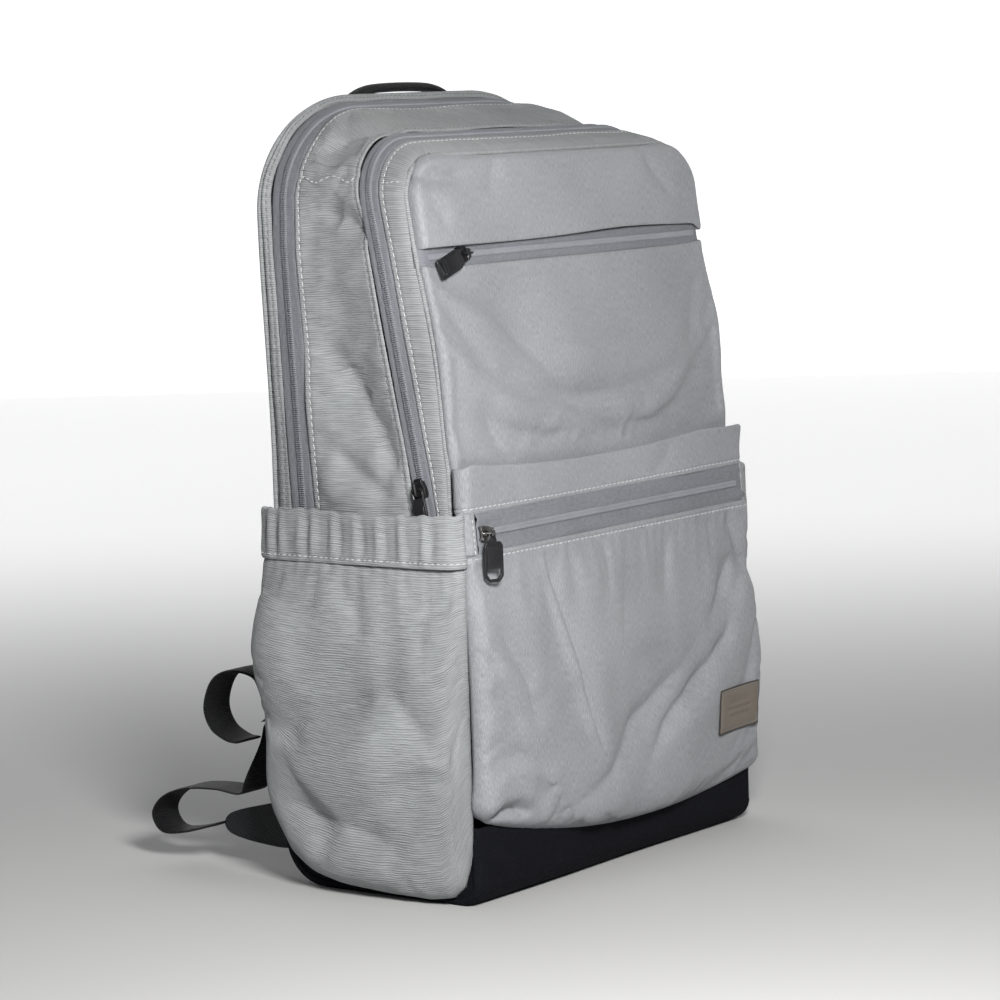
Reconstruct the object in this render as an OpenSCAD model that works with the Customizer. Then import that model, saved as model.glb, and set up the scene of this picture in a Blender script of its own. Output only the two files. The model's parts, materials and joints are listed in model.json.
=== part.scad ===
// Daypack with a folding solar panel stowed in its upper front pocket.
// Origin: centre of the base's underside. +Z up, front faces -Y, +X is the right side seen from the front.

/* [Bag body] */
// Width across the side panels
body_w = 292; // [280:2:300]
// Height of the back panel's top edge
body_h = 462; // [455:1:470]
// Distance from the frame's origin to the back panel's outer face
back_y = 72; // [68:1:74]
// Thickness of one shell panel, with its lining
wall = 2.5; // [2:0.5:3]

/* [Pockets] */
// Height of the side pockets' hem edge
hem_z = 226; // [220:1:232]
// Height of a side pocket's gathered hem
hem_h = 30; // [24:1:34]
// How far a side pocket bulges from the side panel
side_bulge = 20; // [18:1:22]
// Height of the lower front pocket's free top edge
slip_z = 254; // [250:1:258]
// How far the lower front pocket bulges from the front
front_bulge = 5; // [4:0.5:6]

/* [Zips] */
// Half of the main zip's tape width
main_tape = 8.5; // [7:0.5:9]
// Half of the front compartment zip's tape width
front_tape = 7; // [6:0.5:8]
// Width of a zip's coil
coil_w = 4.4; // [4:0.2:4.6]
// Height of a zip's coil above its tape
coil_t = 1.6; // [1.2:0.2:1.8]
// Length of a zip pull's tab
pull_len = 27; // [24:1:28]

/* [Carrying] */
// Width of the shoulder straps
strap_w = 60; // [50:2:64]
// Thickness of the shoulder straps' padding
strap_t = 11; // [8:1:12]
// Width of the adjusting webbing
web_w = 24; // [20:1:26]
// Thickness of the adjusting webbing
web_t = 1.6; // [1.4:0.2:2]

/* [Stowed solar panel] */
// Width of one folded leaf
leaf_w = 150; // [130:5:170]
// Height of one folded leaf
leaf_h = 104; // [90:2:106]
// Thickness of one leaf
leaf_t = 2; // [1.6:0.2:2.2]

/* [Hidden] */

// Body outline
half_w = body_w / 2;
side_taper = 0.022;
top_corner_r = 60;
front_corner_r = 26;
front_top_y = -34;
front_top_z = 428;
front_mid_y = -61;
front_mid_z = 250;
front_low_y = -64;
base_front_y = -72;
base_back_r = 30;
base_front_r = 14;
front_half_w = half_w - side_taper * (back_y - front_top_y);
mid_half_w = half_w - side_taper * (back_y - front_mid_y);
low_half_w = half_w - side_taper * (back_y - front_low_y);
outline_fn = 32;

// Zip planes: each runs straight up the sides and leans back with height
main_zip_y = 48;
main_zip_z = 228;
main_lean = 0.05;
front_zip_y = -38.5;
front_zip_z = 240;
front_lean = 0.19;
zip_end_z = 190;
cross_seam_z = 418;
tape_t = 1.2;

// Front bands
base_top_z = 46;
base_side_z = 10;
upper_zip_z = 371;
upper_zip_h = 10;
lower_zip_z = 215;
lower_zip_h = 22;
zip_low_y = base_front_y - 0.6;
zip_high_y = base_front_y + 1.4;
lower_tilt = atan((zip_high_y - zip_low_y) / 24);
pocket_back_y = front_mid_y + 2;

// Slider: 12 long, 9 wide, with a channel over the coil and a bridge for the pull
slider_len = 12;
slider_w = 9;
slider_t = 3.6;
bridge_h = 4.4;
bar_r = 0.8;
hinge_off = slider_t + 1.4;

// Places of the sliders
main_park_x = half_w - 0.4;
main_park_z = 208;
front_park_x = half_w - 2.6;
front_park_z = 240;
upper_park_x = -106;
lower_park_x = -131;
pull_slant = 24;
pull_rest = 5;

// Straps and webbing, in the plane of Y and Z
web_x = 124;
strap_x = 76;
strap_lean = 7;
strap_route = [[75, 426], [87, 419], [98, 400], [107, 364], [110, 310], [108, 250], [103, 195], [100, 140]];
tail_route = [[109, 106], [113, 117], [124, 121], [134, 113], [139, 98], [134, 86], [123, 80], [115, 79]];
loop_route = [[110, 84], [110, 56], [114, 48], [134, 49], [158, 47], [176, 40], [184, 29], [177, 19],
    [160, 20], [134, 27]];
gusset_outline = [[72.5, 16], [96, 15], [132, 20], [132, 33], [96, 43], [72.5, 50]];

// Points on an arc
function arc(centre, r, from, to, steps) =
    [for (i = [0:steps]) let(angle = from + (to - from) * i / steps) centre + r * [cos(angle), sin(angle)]];

// Unit normal of a route at point i
function route_normal(p, i) =
    let(a = p[max(i - 1, 0)], b = p[min(i + 1, len(p) - 1)], d = (b - a) / norm(b - a)) [-d[1], d[0]];

// Closed outline of a ribbon of thickness t along a route
function ribbon(p, t) = concat(
    [for (i = [0:len(p) - 1]) p[i] + route_normal(p, i) * t / 2],
    [for (i = [len(p) - 1:-1:0]) p[i] - route_normal(p, i) * t / 2]);

function main_y(z) = main_zip_y + main_lean * (z - main_zip_z);
function front_zip_at(z) = front_zip_y + front_lean * (z - front_zip_z);
function front_y(z) = z > front_mid_z
    ? front_mid_y + (front_top_y - front_mid_y) * (z - front_mid_z) / (front_top_z - front_mid_z)
    : front_low_y + (front_mid_y - front_low_y) * (z - base_front_r) / (front_mid_z - base_front_r);

// A shape drawn in Y and Z, extruded along X about the middle
module across(width) {
    translate([-width / 2, 0, 0]) rotate([90, 0, 90]) linear_extrude(width) children();
}

// A disc that faces along Y
module y_disc(x, y, z, r) {
    translate([x, y, z]) rotate([90, 0, 0]) cylinder(r = r, h = 0.6, $fn = outline_fn);
}

// The bag's outer form, drawn in by t on every side
module body_form(t) {
    hull() {
        for (side = [-1, 1]) {
            y_disc(side * (half_w - top_corner_r), back_y - t, body_h - top_corner_r, top_corner_r - t);
            y_disc(side * (front_half_w - front_corner_r), front_top_y + t + 0.6,
                front_top_z - front_corner_r, front_corner_r - t);
        }
        translate([-(mid_half_w - t), front_mid_y + t, front_mid_z]) cube([2 * (mid_half_w - t), 4, 0.4]);
        translate([0, back_y - base_back_r, base_back_r]) rotate([0, 90, 0])
            cylinder(r = base_back_r - t, h = body_w - 2 * t, center = true, $fn = outline_fn);
        translate([0, front_low_y + base_front_r, base_front_r]) rotate([0, 90, 0])
            cylinder(r = base_front_r - t, h = 2 * (low_half_w - t), center = true, $fn = outline_fn);
    }
}

// The base's outer form, a little deeper than the bag, drawn in by t
module base_form(t) {
    hull() {
        translate([0, back_y - base_back_r, base_back_r]) rotate([0, 90, 0])
            cylinder(r = base_back_r - t, h = body_w - 2 * t, center = true, $fn = outline_fn);
        translate([0, base_front_y + base_front_r, base_front_r]) rotate([0, 90, 0])
            cylinder(r = base_front_r - t, h = 2 * (half_w - 4 - t), center = true, $fn = outline_fn);
        translate([t - half_w, base_front_y + base_front_r, base_front_r])
            cube([body_w - 2 * t, 20, base_top_z]);
        translate([t + 4 - half_w, base_front_y + t, base_front_r])
            cube([body_w - 8 - 2 * t, 4, base_top_z]);
    }
}

module shell() {
    difference() {
        body_form(0);
        body_form(wall);
    }
}

// Everything behind the front panels' inner face
module behind_front() {
    across(2 * body_w) polygon([
        [front_low_y + wall, -20], [front_low_y + wall, base_front_r], [front_mid_y + wall, front_mid_z],
        [front_top_y + wall, front_top_z], [front_top_y + wall, 500], [200, 500], [200, -20]]);
}

// A slab of the height from low to high
module level(low, high) {
    translate([-body_w, -200, low]) cube([2 * body_w, 400, high - low]);
}

// A band beside a leaning zip plane, from a to b behind it
module zip_band(y0, z0, lean, a, b, low, high) {
    across(2 * body_w) polygon([
        [y0 + a + lean * (low - z0), low], [y0 + b + lean * (low - z0), low],
        [y0 + b + lean * (high - z0), high], [y0 + a + lean * (high - z0), high]]);
}

module main_band(a, b, low, high) { zip_band(main_zip_y, main_zip_z, main_lean, a, b, low, high); }
module front_band(a, b, low, high) { zip_band(front_zip_y, front_zip_z, front_lean, a, b, low, high); }

// The part of a piece on one side of the middle
module half(side) {
    intersection() {
        children();
        translate([side > 0 ? 0 : -body_w, -300, -50]) cube([body_w, 600, 600]);
    }
}

// Space that holds the base panel: the whole front up to its seam and a low strip at the sides and back
module base_space() {
    across(2 * body_w) polygon([[-100, -5], [100, -5], [100, base_side_z], [front_low_y - 0.1, base_side_z],
        [front_low_y - 0.1, base_top_z], [-100, base_top_z]]);
}

module back_panel() {
    color("dimgray") intersection() {
        shell();
        translate([-body_w, back_y - wall, base_side_z]) cube([2 * body_w, 10, 500]);
    }
}

module back_pad() {
    color("black") translate([0, back_y + 0.1, 0]) difference() {
        hull() for (x = [-1, 1], z = [72, 392])
            translate([x * 96, 0, z]) rotate([-90, 0, 0]) cylinder(r = 20, h = 6, $fn = outline_fn);
        translate([-5, 3, 40]) cube([10, 10, 400]);
    }
}

module frame_sheet() {
    color("white") translate([-118, back_y - wall - 1.8, 44]) cube([236, 1.6, 372]);
}

module rear_gusset() {
    color("silver") intersection() {
        shell();
        translate([-body_w, -200, base_side_z]) cube([2 * body_w, 200 + back_y - wall, 500]);
        main_band(main_tape, 100, base_side_z, 500);
    }
}

// The shell between the two zips, and below their ends
module middle_shell(low, high) {
    intersection() {
        shell();
        behind_front();
        level(low, high);
        union() {
            intersection() {
                main_band(-300, -main_tape, zip_end_z, 500);
                front_band(front_tape, 300, zip_end_z, 500);
            }
            intersection() {
                main_band(-300, main_tape, base_side_z, zip_end_z);
                front_band(-front_tape, 300, base_side_z, zip_end_z);
            }
        }
    }
}

module side_gusset(side) { color("darkgray") half(side) middle_shell(base_side_z, cross_seam_z); }

module top_gusset() { color("darkgray") middle_shell(cross_seam_z, 500); }

module front_gusset() {
    color("gray") intersection() {
        shell();
        behind_front();
        front_band(-200, -front_tape, base_side_z, 500);
    }
}

// A stretch of the front wall between two heights
module front_wall(low, high) {
    intersection() {
        difference() {
            shell();
            behind_front();
        }
        level(low, high);
    }
}

module upper_front_panel() { color("gainsboro") front_wall(slip_z - 6, upper_zip_z - upper_zip_h / 2); }

module yoke_panel() { color("lightgray") front_wall(upper_zip_z + upper_zip_h / 2, 500); }

module pocket_backing() { color("gray") front_wall(base_front_r + 2, slip_z - 6); }

module base_panel() {
    color([0.1, 0.1, 0.12]) intersection() {
        difference() {
            base_form(0);
            base_form(wall);
        }
        base_space();
    }
}

module base_board() {
    color("white") translate([-138, front_low_y + 18, wall + 0.2]) cube([276, 84, 2]);
}

module compartment_divider() {
    color("gray") translate([-134, -13, 12]) cube([268, 1.2, 390]);
}

module laptop_sleeve() {
    color("dimgray") translate([-122, back_y - 34, 30]) difference() {
        cube([244, 28, 290]);
        translate([2, 3, 3]) cube([240, 22.5, 300]);
    }
}

// A zip tape round the sides and top, let into the shell
module round_tape() {
    intersection() {
        difference() {
            body_form(0.4);
            body_form(0.4 + tape_t);
        }
        children();
    }
}

// A coil along the middle of a tape round the sides and top
module round_coil() {
    intersection() {
        difference() {
            body_form(0.4 - coil_t);
            body_form(0.4);
        }
        children();
    }
}

module main_zip_tape() {
    color("slategray") round_tape() main_band(-main_tape, main_tape, zip_end_z, 500);
}

module main_zip_coil() {
    color("lightsteelblue") round_coil() main_band(-coil_w / 2, coil_w / 2, zip_end_z, 500);
}

module front_zip_tape() {
    color("slategray") round_tape() front_band(-front_tape, front_tape, zip_end_z, 500);
}

module front_zip_coil() {
    color("lightsteelblue") round_coil() front_band(-coil_w / 2, coil_w / 2, zip_end_z, 500);
}

module upper_zip_tape() {
    low = upper_zip_z - upper_zip_h / 2;
    high = upper_zip_z + upper_zip_h / 2;
    color("slategray") across(2 * front_half_w - 4) polygon([
        [front_y(low) + 0.4, low], [front_y(low) + 1.6, low],
        [front_y(high) + 1.6, high], [front_y(high) + 0.4, high]]);
}

module upper_zip_coil() {
    low = upper_zip_z - coil_w / 2;
    high = upper_zip_z + coil_w / 2;
    color("lightsteelblue") across(2 * front_half_w - 14) polygon([[front_y(low) + 0.4 - coil_t, low],
        [front_y(low) + 0.4, low], [front_y(high) + 0.4, high], [front_y(high) + 0.4 - coil_t, high]]);
}

// Outline of the lower front pocket in Y and Z, drawn in by t, with its front moved back by b
function pocket_outline(t, b) = [[pocket_back_y, 30 + t], [base_front_y + t + b / 2, 30 + t],
    [base_front_y - front_bulge + t + b, 62], [base_front_y - front_bulge + t + b, 130],
    [zip_low_y + t + b, lower_zip_z - 12], [zip_high_y + t + b, lower_zip_z + 12],
    [front_mid_y - 9 + t + b, slip_z + t], [pocket_back_y, slip_z + t]];

// The lower front pocket's outer form, drawn in by t
module pocket_form(t) {
    hull() {
        across(2 * (half_w - 8 - t)) polygon(pocket_outline(t, 0));
        across(2 * (half_w - t)) polygon(pocket_outline(t, 4));
    }
}

// A stretch of the lower front pocket between two heights
module pocket_wall(low, high, depth) {
    intersection() {
        difference() {
            pocket_form(0.4);
            pocket_form(0.4 + depth);
            body_form(-0.05);
        }
        level(low, high);
    }
}

module slip_pocket_band() {
    color("lightgray") pocket_wall(lower_zip_z + lower_zip_h / 2, slip_z, 2);
}

module lower_zip_tape() {
    color("slategray") pocket_wall(lower_zip_z - lower_zip_h / 2, lower_zip_z + lower_zip_h / 2, 1.4);
}

module lower_pocket_panel() {
    color("silver") pocket_wall(base_top_z, lower_zip_z - lower_zip_h / 2, 2);
}

module lower_zip_coil() {
    color("lightsteelblue") intersection() {
        difference() {
            pocket_form(0.4 - coil_t);
            pocket_form(0.4);
        }
        translate([10 - half_w, -100, lower_zip_z - coil_w / 2]) cube([body_w - 20, 60, coil_w]);
    }
}

module label_patch() {
    color("rosybrown") translate([88, base_front_y - front_bulge - 0.9, 64]) cube([48, 1.2, 27]);
}

// A stretch of the left side pocket's form: from x = out to just inside the side panel
module side_rib(out, y0, y1, z, h) {
    translate([out, y0, z]) cube([2 - half_w - out, y1 - y0, h]);
}

// A side pocket's outer form, drawn in by t, on the left side
module side_form(t) {
    out = -half_w - side_bulge + t;
    hull() {
        side_rib(out + 9, -68 + t, 68 - t, hem_z + t, 0.4);
        side_rib(out + 7, -69 + t, 72 - t, hem_z - hem_h, 0.4);
        side_rib(out, -66 + t, 76 - t, 80, 70);
        side_rib(out + 3, -66 + t, 68 - t, 34, 2);
        side_rib(1 - half_w, -62 + t, 32 - t, 2 + t, 2);
    }
}

module side_wall(low, high) {
    intersection() {
        difference() {
            side_form(0);
            side_form(2);
            body_form(-0.1);
            base_form(-0.1);
            pocket_form(0.3);
        }
        level(low, high);
        translate([-body_w, -100, -10]) cube([body_w, 200, 400]);
    }
}

// A copy on the right for the pieces that come in pairs
module on_side(side) { mirror([side > 0 ? 1 : 0, 0, 0]) children(); }

module side_pocket(side) { color("darkgray") on_side(side) side_wall(1, hem_z - hem_h); }

module pocket_hem(side) { color("silver") on_side(side) side_wall(hem_z - hem_h, hem_z); }

// A slider in its own frame: the chain runs along X, the tape's face is at z = 0
module slider_body() {
    difference() {
        translate([-slider_len / 2, -slider_w / 2, 0.3]) cube([slider_len, slider_w, slider_t - 0.3]);
        translate([-slider_len, -coil_w / 2 - 0.4, -1]) cube([2 * slider_len, coil_w + 0.8, coil_t + 1.5]);
        for (s = [-1, 1]) translate([slider_len / 2 + 1, s * 7.2, -1]) cylinder(r = 4.4, h = 10);
    }
    difference() {
        translate([-3.9, -1.1, slider_t]) cube([7.8, 2.2, bridge_h - 1]);
        translate([-2.5, -3, slider_t - 1]) cube([5, 6, bridge_h - 0.9]);
    }
}

// A pull whose pin lies across the chain: the tab lies along -X from the pin at the origin
module pull_cross(tab_w) {
    rotate([90, 0, 0]) cylinder(r = bar_r, h = 8.2, center = true, $fn = 24);
    for (s = [-1, 1]) translate([-6, s * 3.4 - 0.7, -bar_r]) cube([6, 1.4, 2 * bar_r]);
    difference() {
        translate([-pull_len, -tab_w / 2, -bar_r]) cube([pull_len - 5, tab_w, 2 * bar_r]);
        translate([-pull_len + 4, 0, -3]) cylinder(r = 2, h = 6, $fn = 32);
    }
}

// A pull that hangs by a ring round the bridge: the tab lies along -Y from the ring at the origin
module pull_ring(tab_w) {
    rotate([0, 90, 0]) difference() {
        cylinder(r = 2.1, h = 2, center = true, $fn = 32);
        cylinder(r = 1.3, h = 4, center = true, $fn = 32);
    }
    difference() {
        union() {
            translate([-1.6, -6, -0.8]) cube([3.2, 4.2, 1.6]);
            translate([-tab_w / 2, -pull_len, -0.9]) cube([tab_w, pull_len - 5.5, 1.8]);
        }
        translate([0, -pull_len + 4.5, -3]) cylinder(r = 2.4, h = 6, $fn = 32);
    }
}

// Places a slider's frame on the side of the bag: its X points up the zip and its Z outwards
module on_side_zip(side, x, y, z, lean) {
    on_side(side) translate([-x, y, z]) rotate([-atan(lean), 0, 0]) rotate([0, -90, 0]) children();
}

module at_main(side) {
    on_side_zip(side, main_park_x, main_y(main_park_z), main_park_z, main_lean) children();
}

module at_front() {
    on_side_zip(-1, front_park_x, front_zip_at(front_park_z), front_park_z, front_lean) children();
}

module main_slider(side) { color("black") at_main(side) slider_body(); }

module main_pull(side) { color("black") at_main(side) translate([0, 0, hinge_off]) pull_cross(9); }

module front_slider() { color("black") at_front() slider_body(); }

module front_pull() { color("black") at_front() translate([0, 0, hinge_off]) pull_cross(9); }

// Places a slider's frame on the front: X stays along the zip, z points out of the front
module on_front(x, y, z, tilt) { translate([x, y, z]) rotate([90 - tilt, 0, 0]) children(); }

lower_zip_y = (zip_low_y + zip_high_y) / 2 - 0.2;
upper_tilt = atan((front_top_y - front_mid_y) / (front_top_z - front_mid_z));

module upper_slider() {
    color("black") on_front(upper_park_x, front_y(upper_zip_z) + 0.2, upper_zip_z, upper_tilt) slider_body();
}

module upper_pull() {
    color("black") on_front(upper_park_x, front_y(upper_zip_z) + 0.2, upper_zip_z, upper_tilt)
        translate([0, 0, hinge_off]) rotate([0, 0, pull_slant]) rotate([0, -pull_rest, 0]) pull_cross(11);
}

module lower_slider() {
    color("dimgray") on_front(lower_park_x, lower_zip_y, lower_zip_z, lower_tilt) slider_body();
}

module lower_pull() {
    color("black") on_front(lower_park_x, lower_zip_y, lower_zip_z, lower_tilt)
        translate([0, 0, slider_t + 2.95]) rotate([lower_tilt, 0, 0]) pull_ring(10);
}

// The grab handle: a rolled webbing arch behind the top edge
module handle() {
    route = concat([[-50, 449]], arc([-36, 452], 14, 180, 90, 6), arc([36, 452], 14, 90, 0, 6), [[50, 449]]);
    color("black") translate([0, back_y + 15, 0]) rotate([90, 0, 0]) linear_extrude(12)
        polygon(ribbon(route, 6));
}

module handle_anchor() {
    color("black") for (s = [-1, 1]) translate([s * 50 - 8, back_y + 0.1, 435]) cube([16, 2.4, 12]);
}

module strap_place(side) {
    on_side(side) translate([-strap_x, 0, 280]) rotate([0, strap_lean, 0]) translate([0, 0, -280]) children();
}

module shoulder_strap(side) {
    color("black") strap_place(side) across(strap_w) polygon(ribbon(strap_route, strap_t));
}

module ladder_lock(side) {
    color([0.15, 0.15, 0.16]) on_side(side) translate([-web_x + 20, 101, 98]) difference() {
        translate([-17, -3, -15]) cube([34, 6, 30]);
        for (z = [-8.5, 2.5]) translate([-13, -10, z]) cube([26, 20, 6]);
    }
}

module lower_webbing(side) {
    color("black") on_side(side) translate([-web_x, 0, 0]) across(web_w) polygon(ribbon(loop_route, web_t));
}

module strap_tail(side) {
    color("black") on_side(side) translate([-web_x, 0, 0]) across(web_w) polygon(ribbon(tail_route, web_t));
}

module anchor_gusset(side) {
    color("black") on_side(side) translate([-web_x, 0, 0]) across(2.4) polygon(gusset_outline);
}

// Stowed solar panel, in a frame that lies along the inside of the upper front
module stowed(depth, z0) {
    translate([0, front_y(z0) + wall + depth, z0]) rotate([-upper_tilt, 0, 0]) children();
}

module solar_leaves() {
    color("darkslategray") stowed(0, 258) for (i = [0:2])
        translate([-leaf_w / 2, 3 + i * 3, 0]) cube([leaf_w, leaf_t, leaf_h]);
}

module solar_cells() {
    color("midnightblue") stowed(0, 258) for (i = [0:2], column = [0, 1])
        translate([-leaf_w / 2 + 8 + column * (leaf_w / 2 - 4), 3 - 0.6 + i * 3, 8])
            cube([leaf_w / 2 - 12, 0.5, leaf_h - 16]);
}

module solar_backing() {
    color("gray") stowed(0, 250) translate([-132, 15, 0]) cube([264, 1, 112]);
}

module junction_box() {
    color("black") stowed(0, 262) translate([84, 3.5, 10]) difference() {
        cube([34, 8, 62]);
        translate([11.4, 1.6, 50]) cube([12.8, 4.9, 20]);
    }
}

module usb_socket() {
    color("silver") stowed(0, 262) translate([84 + 11.6, 3.5 + 1.8, 60.2]) difference() {
        cube([12.4, 4.5, 11.6]);
        translate([0.5, 0.5, 1]) cube([11.4, 3.5, 20]);
    }
}

back_panel();
back_pad();
frame_sheet();
rear_gusset();
side_gusset(-1);  // side_gusset_left
side_gusset(1);  // side_gusset_right
top_gusset();
front_gusset();
upper_front_panel();
yoke_panel();
pocket_backing();
base_panel();
base_board();
compartment_divider();
laptop_sleeve();
main_zip_tape();
main_zip_coil();
front_zip_tape();
front_zip_coil();
upper_zip_tape();
upper_zip_coil();
lower_zip_tape();
lower_zip_coil();
slip_pocket_band();
lower_pocket_panel();
label_patch();
side_pocket(-1);  // side_pocket_left
side_pocket(1);  // side_pocket_right
pocket_hem(-1);  // pocket_hem_left
pocket_hem(1);  // pocket_hem_right
main_slider(-1);  // main_slider_left
main_slider(1);  // main_slider_right
front_slider();
upper_slider();
lower_slider();
main_pull(-1);  // main_pull_left
main_pull(1);  // main_pull_right
front_pull();
upper_pull();
lower_pull();
handle();
handle_anchor();
shoulder_strap(-1);  // shoulder_strap_left
shoulder_strap(1);  // shoulder_strap_right
ladder_lock(-1);  // ladder_lock_left
ladder_lock(1);  // ladder_lock_right
lower_webbing(-1);  // lower_webbing_left
lower_webbing(1);  // lower_webbing_right
strap_tail(-1);  // strap_tail_left
strap_tail(1);  // strap_tail_right
anchor_gusset(-1);  // anchor_gusset_left
anchor_gusset(1);  // anchor_gusset_right
solar_leaves();
solar_cells();
solar_backing();
junction_box();
usb_socket();
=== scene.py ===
"""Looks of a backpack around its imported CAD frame. Shape functions work in millimetres, in the part's frame."""

import json
import math

import bmesh
import bpy
import numpy as np
from mathutils import Matrix, Vector


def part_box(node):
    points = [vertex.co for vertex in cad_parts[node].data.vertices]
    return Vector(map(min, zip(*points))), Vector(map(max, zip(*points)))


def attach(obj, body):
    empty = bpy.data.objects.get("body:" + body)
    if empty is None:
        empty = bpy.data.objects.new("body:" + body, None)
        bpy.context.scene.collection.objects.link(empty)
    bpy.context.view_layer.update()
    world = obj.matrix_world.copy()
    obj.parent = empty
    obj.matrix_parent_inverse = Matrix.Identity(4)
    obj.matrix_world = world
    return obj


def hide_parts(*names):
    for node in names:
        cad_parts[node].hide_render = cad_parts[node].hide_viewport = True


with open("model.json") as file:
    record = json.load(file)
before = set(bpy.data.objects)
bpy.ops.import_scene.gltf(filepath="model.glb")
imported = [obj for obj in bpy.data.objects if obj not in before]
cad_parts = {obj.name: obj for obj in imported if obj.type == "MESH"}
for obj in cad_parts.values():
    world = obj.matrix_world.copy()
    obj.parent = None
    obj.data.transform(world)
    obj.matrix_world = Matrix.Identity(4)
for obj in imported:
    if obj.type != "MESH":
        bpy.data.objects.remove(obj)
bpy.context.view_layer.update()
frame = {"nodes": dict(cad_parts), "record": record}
scene = bpy.context.scene
MM = 0.001


def box_mm(node):
    """Lowest and highest corner of a CAD node in millimetres."""
    low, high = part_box(node)
    return np.array(low) / MM, np.array(high) / MM


# ---------------------------------------------------------------- camera, floor and light
CAM_AZ, CAM_EL, CAM_ROLL = (math.radians(a) for a in (-54.0, 6.4, 1.63))
CAM_FAR = 2.2
CAM_LENS = 130.9
CAM_TARGET = Vector((0, -0.008, 0.226))
CAM_OFFSET = (-0.01634, -0.00968)


def make_camera():
    back = Vector((math.sin(CAM_AZ) * math.cos(CAM_EL), -math.cos(CAM_AZ) * math.cos(CAM_EL), math.sin(CAM_EL)))
    right = Vector((math.cos(CAM_AZ), math.sin(CAM_AZ), 0))
    up = back.cross(right)
    across = right * math.cos(CAM_ROLL) - up * math.sin(CAM_ROLL)
    upward = right * math.sin(CAM_ROLL) + up * math.cos(CAM_ROLL)
    place = CAM_TARGET + back * CAM_FAR
    aim = CAM_TARGET + across * CAM_OFFSET[0] + upward * CAM_OFFSET[1]
    axis = (place - aim).normalized()
    across = (across - axis * across.dot(axis)).normalized()
    upward = axis.cross(across)
    data = bpy.data.cameras.new("camera")
    data.lens = CAM_LENS
    data.sensor_width = 36
    data.clip_end = 50
    camera = bpy.data.objects.new("camera", data)
    turn = Matrix((across, upward, axis)).transposed().to_4x4()
    camera.matrix_world = Matrix.Translation(place) @ turn
    scene.collection.objects.link(camera)
    scene.camera = camera


def area_light(name, place, target, size, watts, colour):
    data = bpy.data.lights.new(name, "AREA")
    data.shape = "DISK"
    data.size = size
    data.energy = watts
    data.color = colour
    light = bpy.data.objects.new(name, data)
    light.location = place
    light.rotation_euler = (Vector(target) - Vector(place)).to_track_quat("-Z", "Y").to_euler()
    scene.collection.objects.link(light)


def make_stage():
    mesh = bpy.data.meshes.new("floor")
    edge = 6.0
    mesh.from_pydata([(-edge, -edge, 0), (edge, -edge, 0), (edge, edge, 0), (-edge, edge, 0)], [], [(0, 1, 2, 3)])
    floor = bpy.data.objects.new("floor", mesh)
    mat = bpy.data.materials.new("floor")
    mat.use_nodes = True
    shader = mat.node_tree.nodes["Principled BSDF"]
    shader.inputs["Base Color"].default_value = (0.52, 0.52, 0.52, 1)
    shader.inputs["Roughness"].default_value = 0.9
    shader.inputs["Emission Color"].default_value = (1, 1, 1, 1)
    spot = mat.node_tree.nodes.new("ShaderNodeTexCoord")
    behind = mat.node_tree.nodes.new("ShaderNodeVectorMath")
    behind.operation = "DOT_PRODUCT"
    behind.inputs[1].default_value = (-math.sin(CAM_AZ), math.cos(CAM_AZ), 0)
    glow_up = mat.node_tree.nodes.new("ShaderNodeMapRange")
    glow_up.interpolation_type = "SMOOTHSTEP"
    glow_up.inputs["From Min"].default_value = 0.1
    glow_up.inputs["From Max"].default_value = 1.7
    glow_up.inputs["To Max"].default_value = 0.6
    mat.node_tree.links.new(spot.outputs["Object"], behind.inputs[0])
    mat.node_tree.links.new(behind.outputs["Value"], glow_up.inputs["Value"])
    mat.node_tree.links.new(glow_up.outputs["Result"], shader.inputs["Emission Strength"])
    floor.data.materials.append(mat)
    scene.collection.objects.link(floor)
    wall_mesh = bpy.data.meshes.new("backdrop")
    wall_mesh.from_pydata([(-6, 0, -0.4), (6, 0, -0.4), (6, 0, 5), (-6, 0, 5)], [], [(0, 1, 2, 3)])
    wall = bpy.data.objects.new("backdrop", wall_mesh)
    wall.matrix_world = Matrix.Translation((-3.4 * math.sin(CAM_AZ), 3.4 * math.cos(CAM_AZ), 0)) @ Matrix.Rotation(
        CAM_AZ, 4, "Z")
    glow = bpy.data.materials.new("backdrop")
    glow.use_nodes = True
    lit = glow.node_tree.nodes["Principled BSDF"]
    lit.inputs["Base Color"].default_value = (0.8, 0.8, 0.8, 1)
    lit.inputs["Emission Color"].default_value = (1, 1, 1, 1)
    lit.inputs["Emission Strength"].default_value = 0.72
    wall.data.materials.append(glow)
    scene.collection.objects.link(wall)
    world = bpy.data.worlds.new("studio")
    world.use_nodes = True
    world.node_tree.nodes["Background"].inputs["Color"].default_value = (0.93, 0.95, 1.0, 1)
    world.node_tree.nodes["Background"].inputs["Strength"].default_value = 0.10
    scene.world = world
    scene.view_settings.view_transform = "Standard"
    area_light("key", (-0.66, -0.66, 0.56), (0, 0, 0.25), 0.22, 13.3, (1.0, 0.99, 0.97))
    area_light("fill", (1.9, -1.2, 1.0), (0, 0, 0.2), 1.6, 1, (0.96, 0.98, 1.0))
    area_light("side", (-2.4, 0.5, 1.4), (0, 0, 0.25), 1.2, 3, (0.97, 1.0, 0.98))
    area_light("rear", (0.9, 2.2, 1.7), (0, 0, 0.25), 1.6, 7, (1.0, 1.0, 1.0))


make_camera()
make_stage()


# ---------------------------------------------------------------- materials
def add(tree, kind, values=None, links=None, **settings):
    """A shader node with its input values, its links and its settings."""
    made = tree.nodes.new(kind)
    for key, value in settings.items():
        setattr(made, key, value)
    for key, value in (values or {}).items():
        made.inputs[key].default_value = value
    for key, socket in (links or {}).items():
        tree.links.new(socket, made.inputs[key])
    return made


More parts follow.
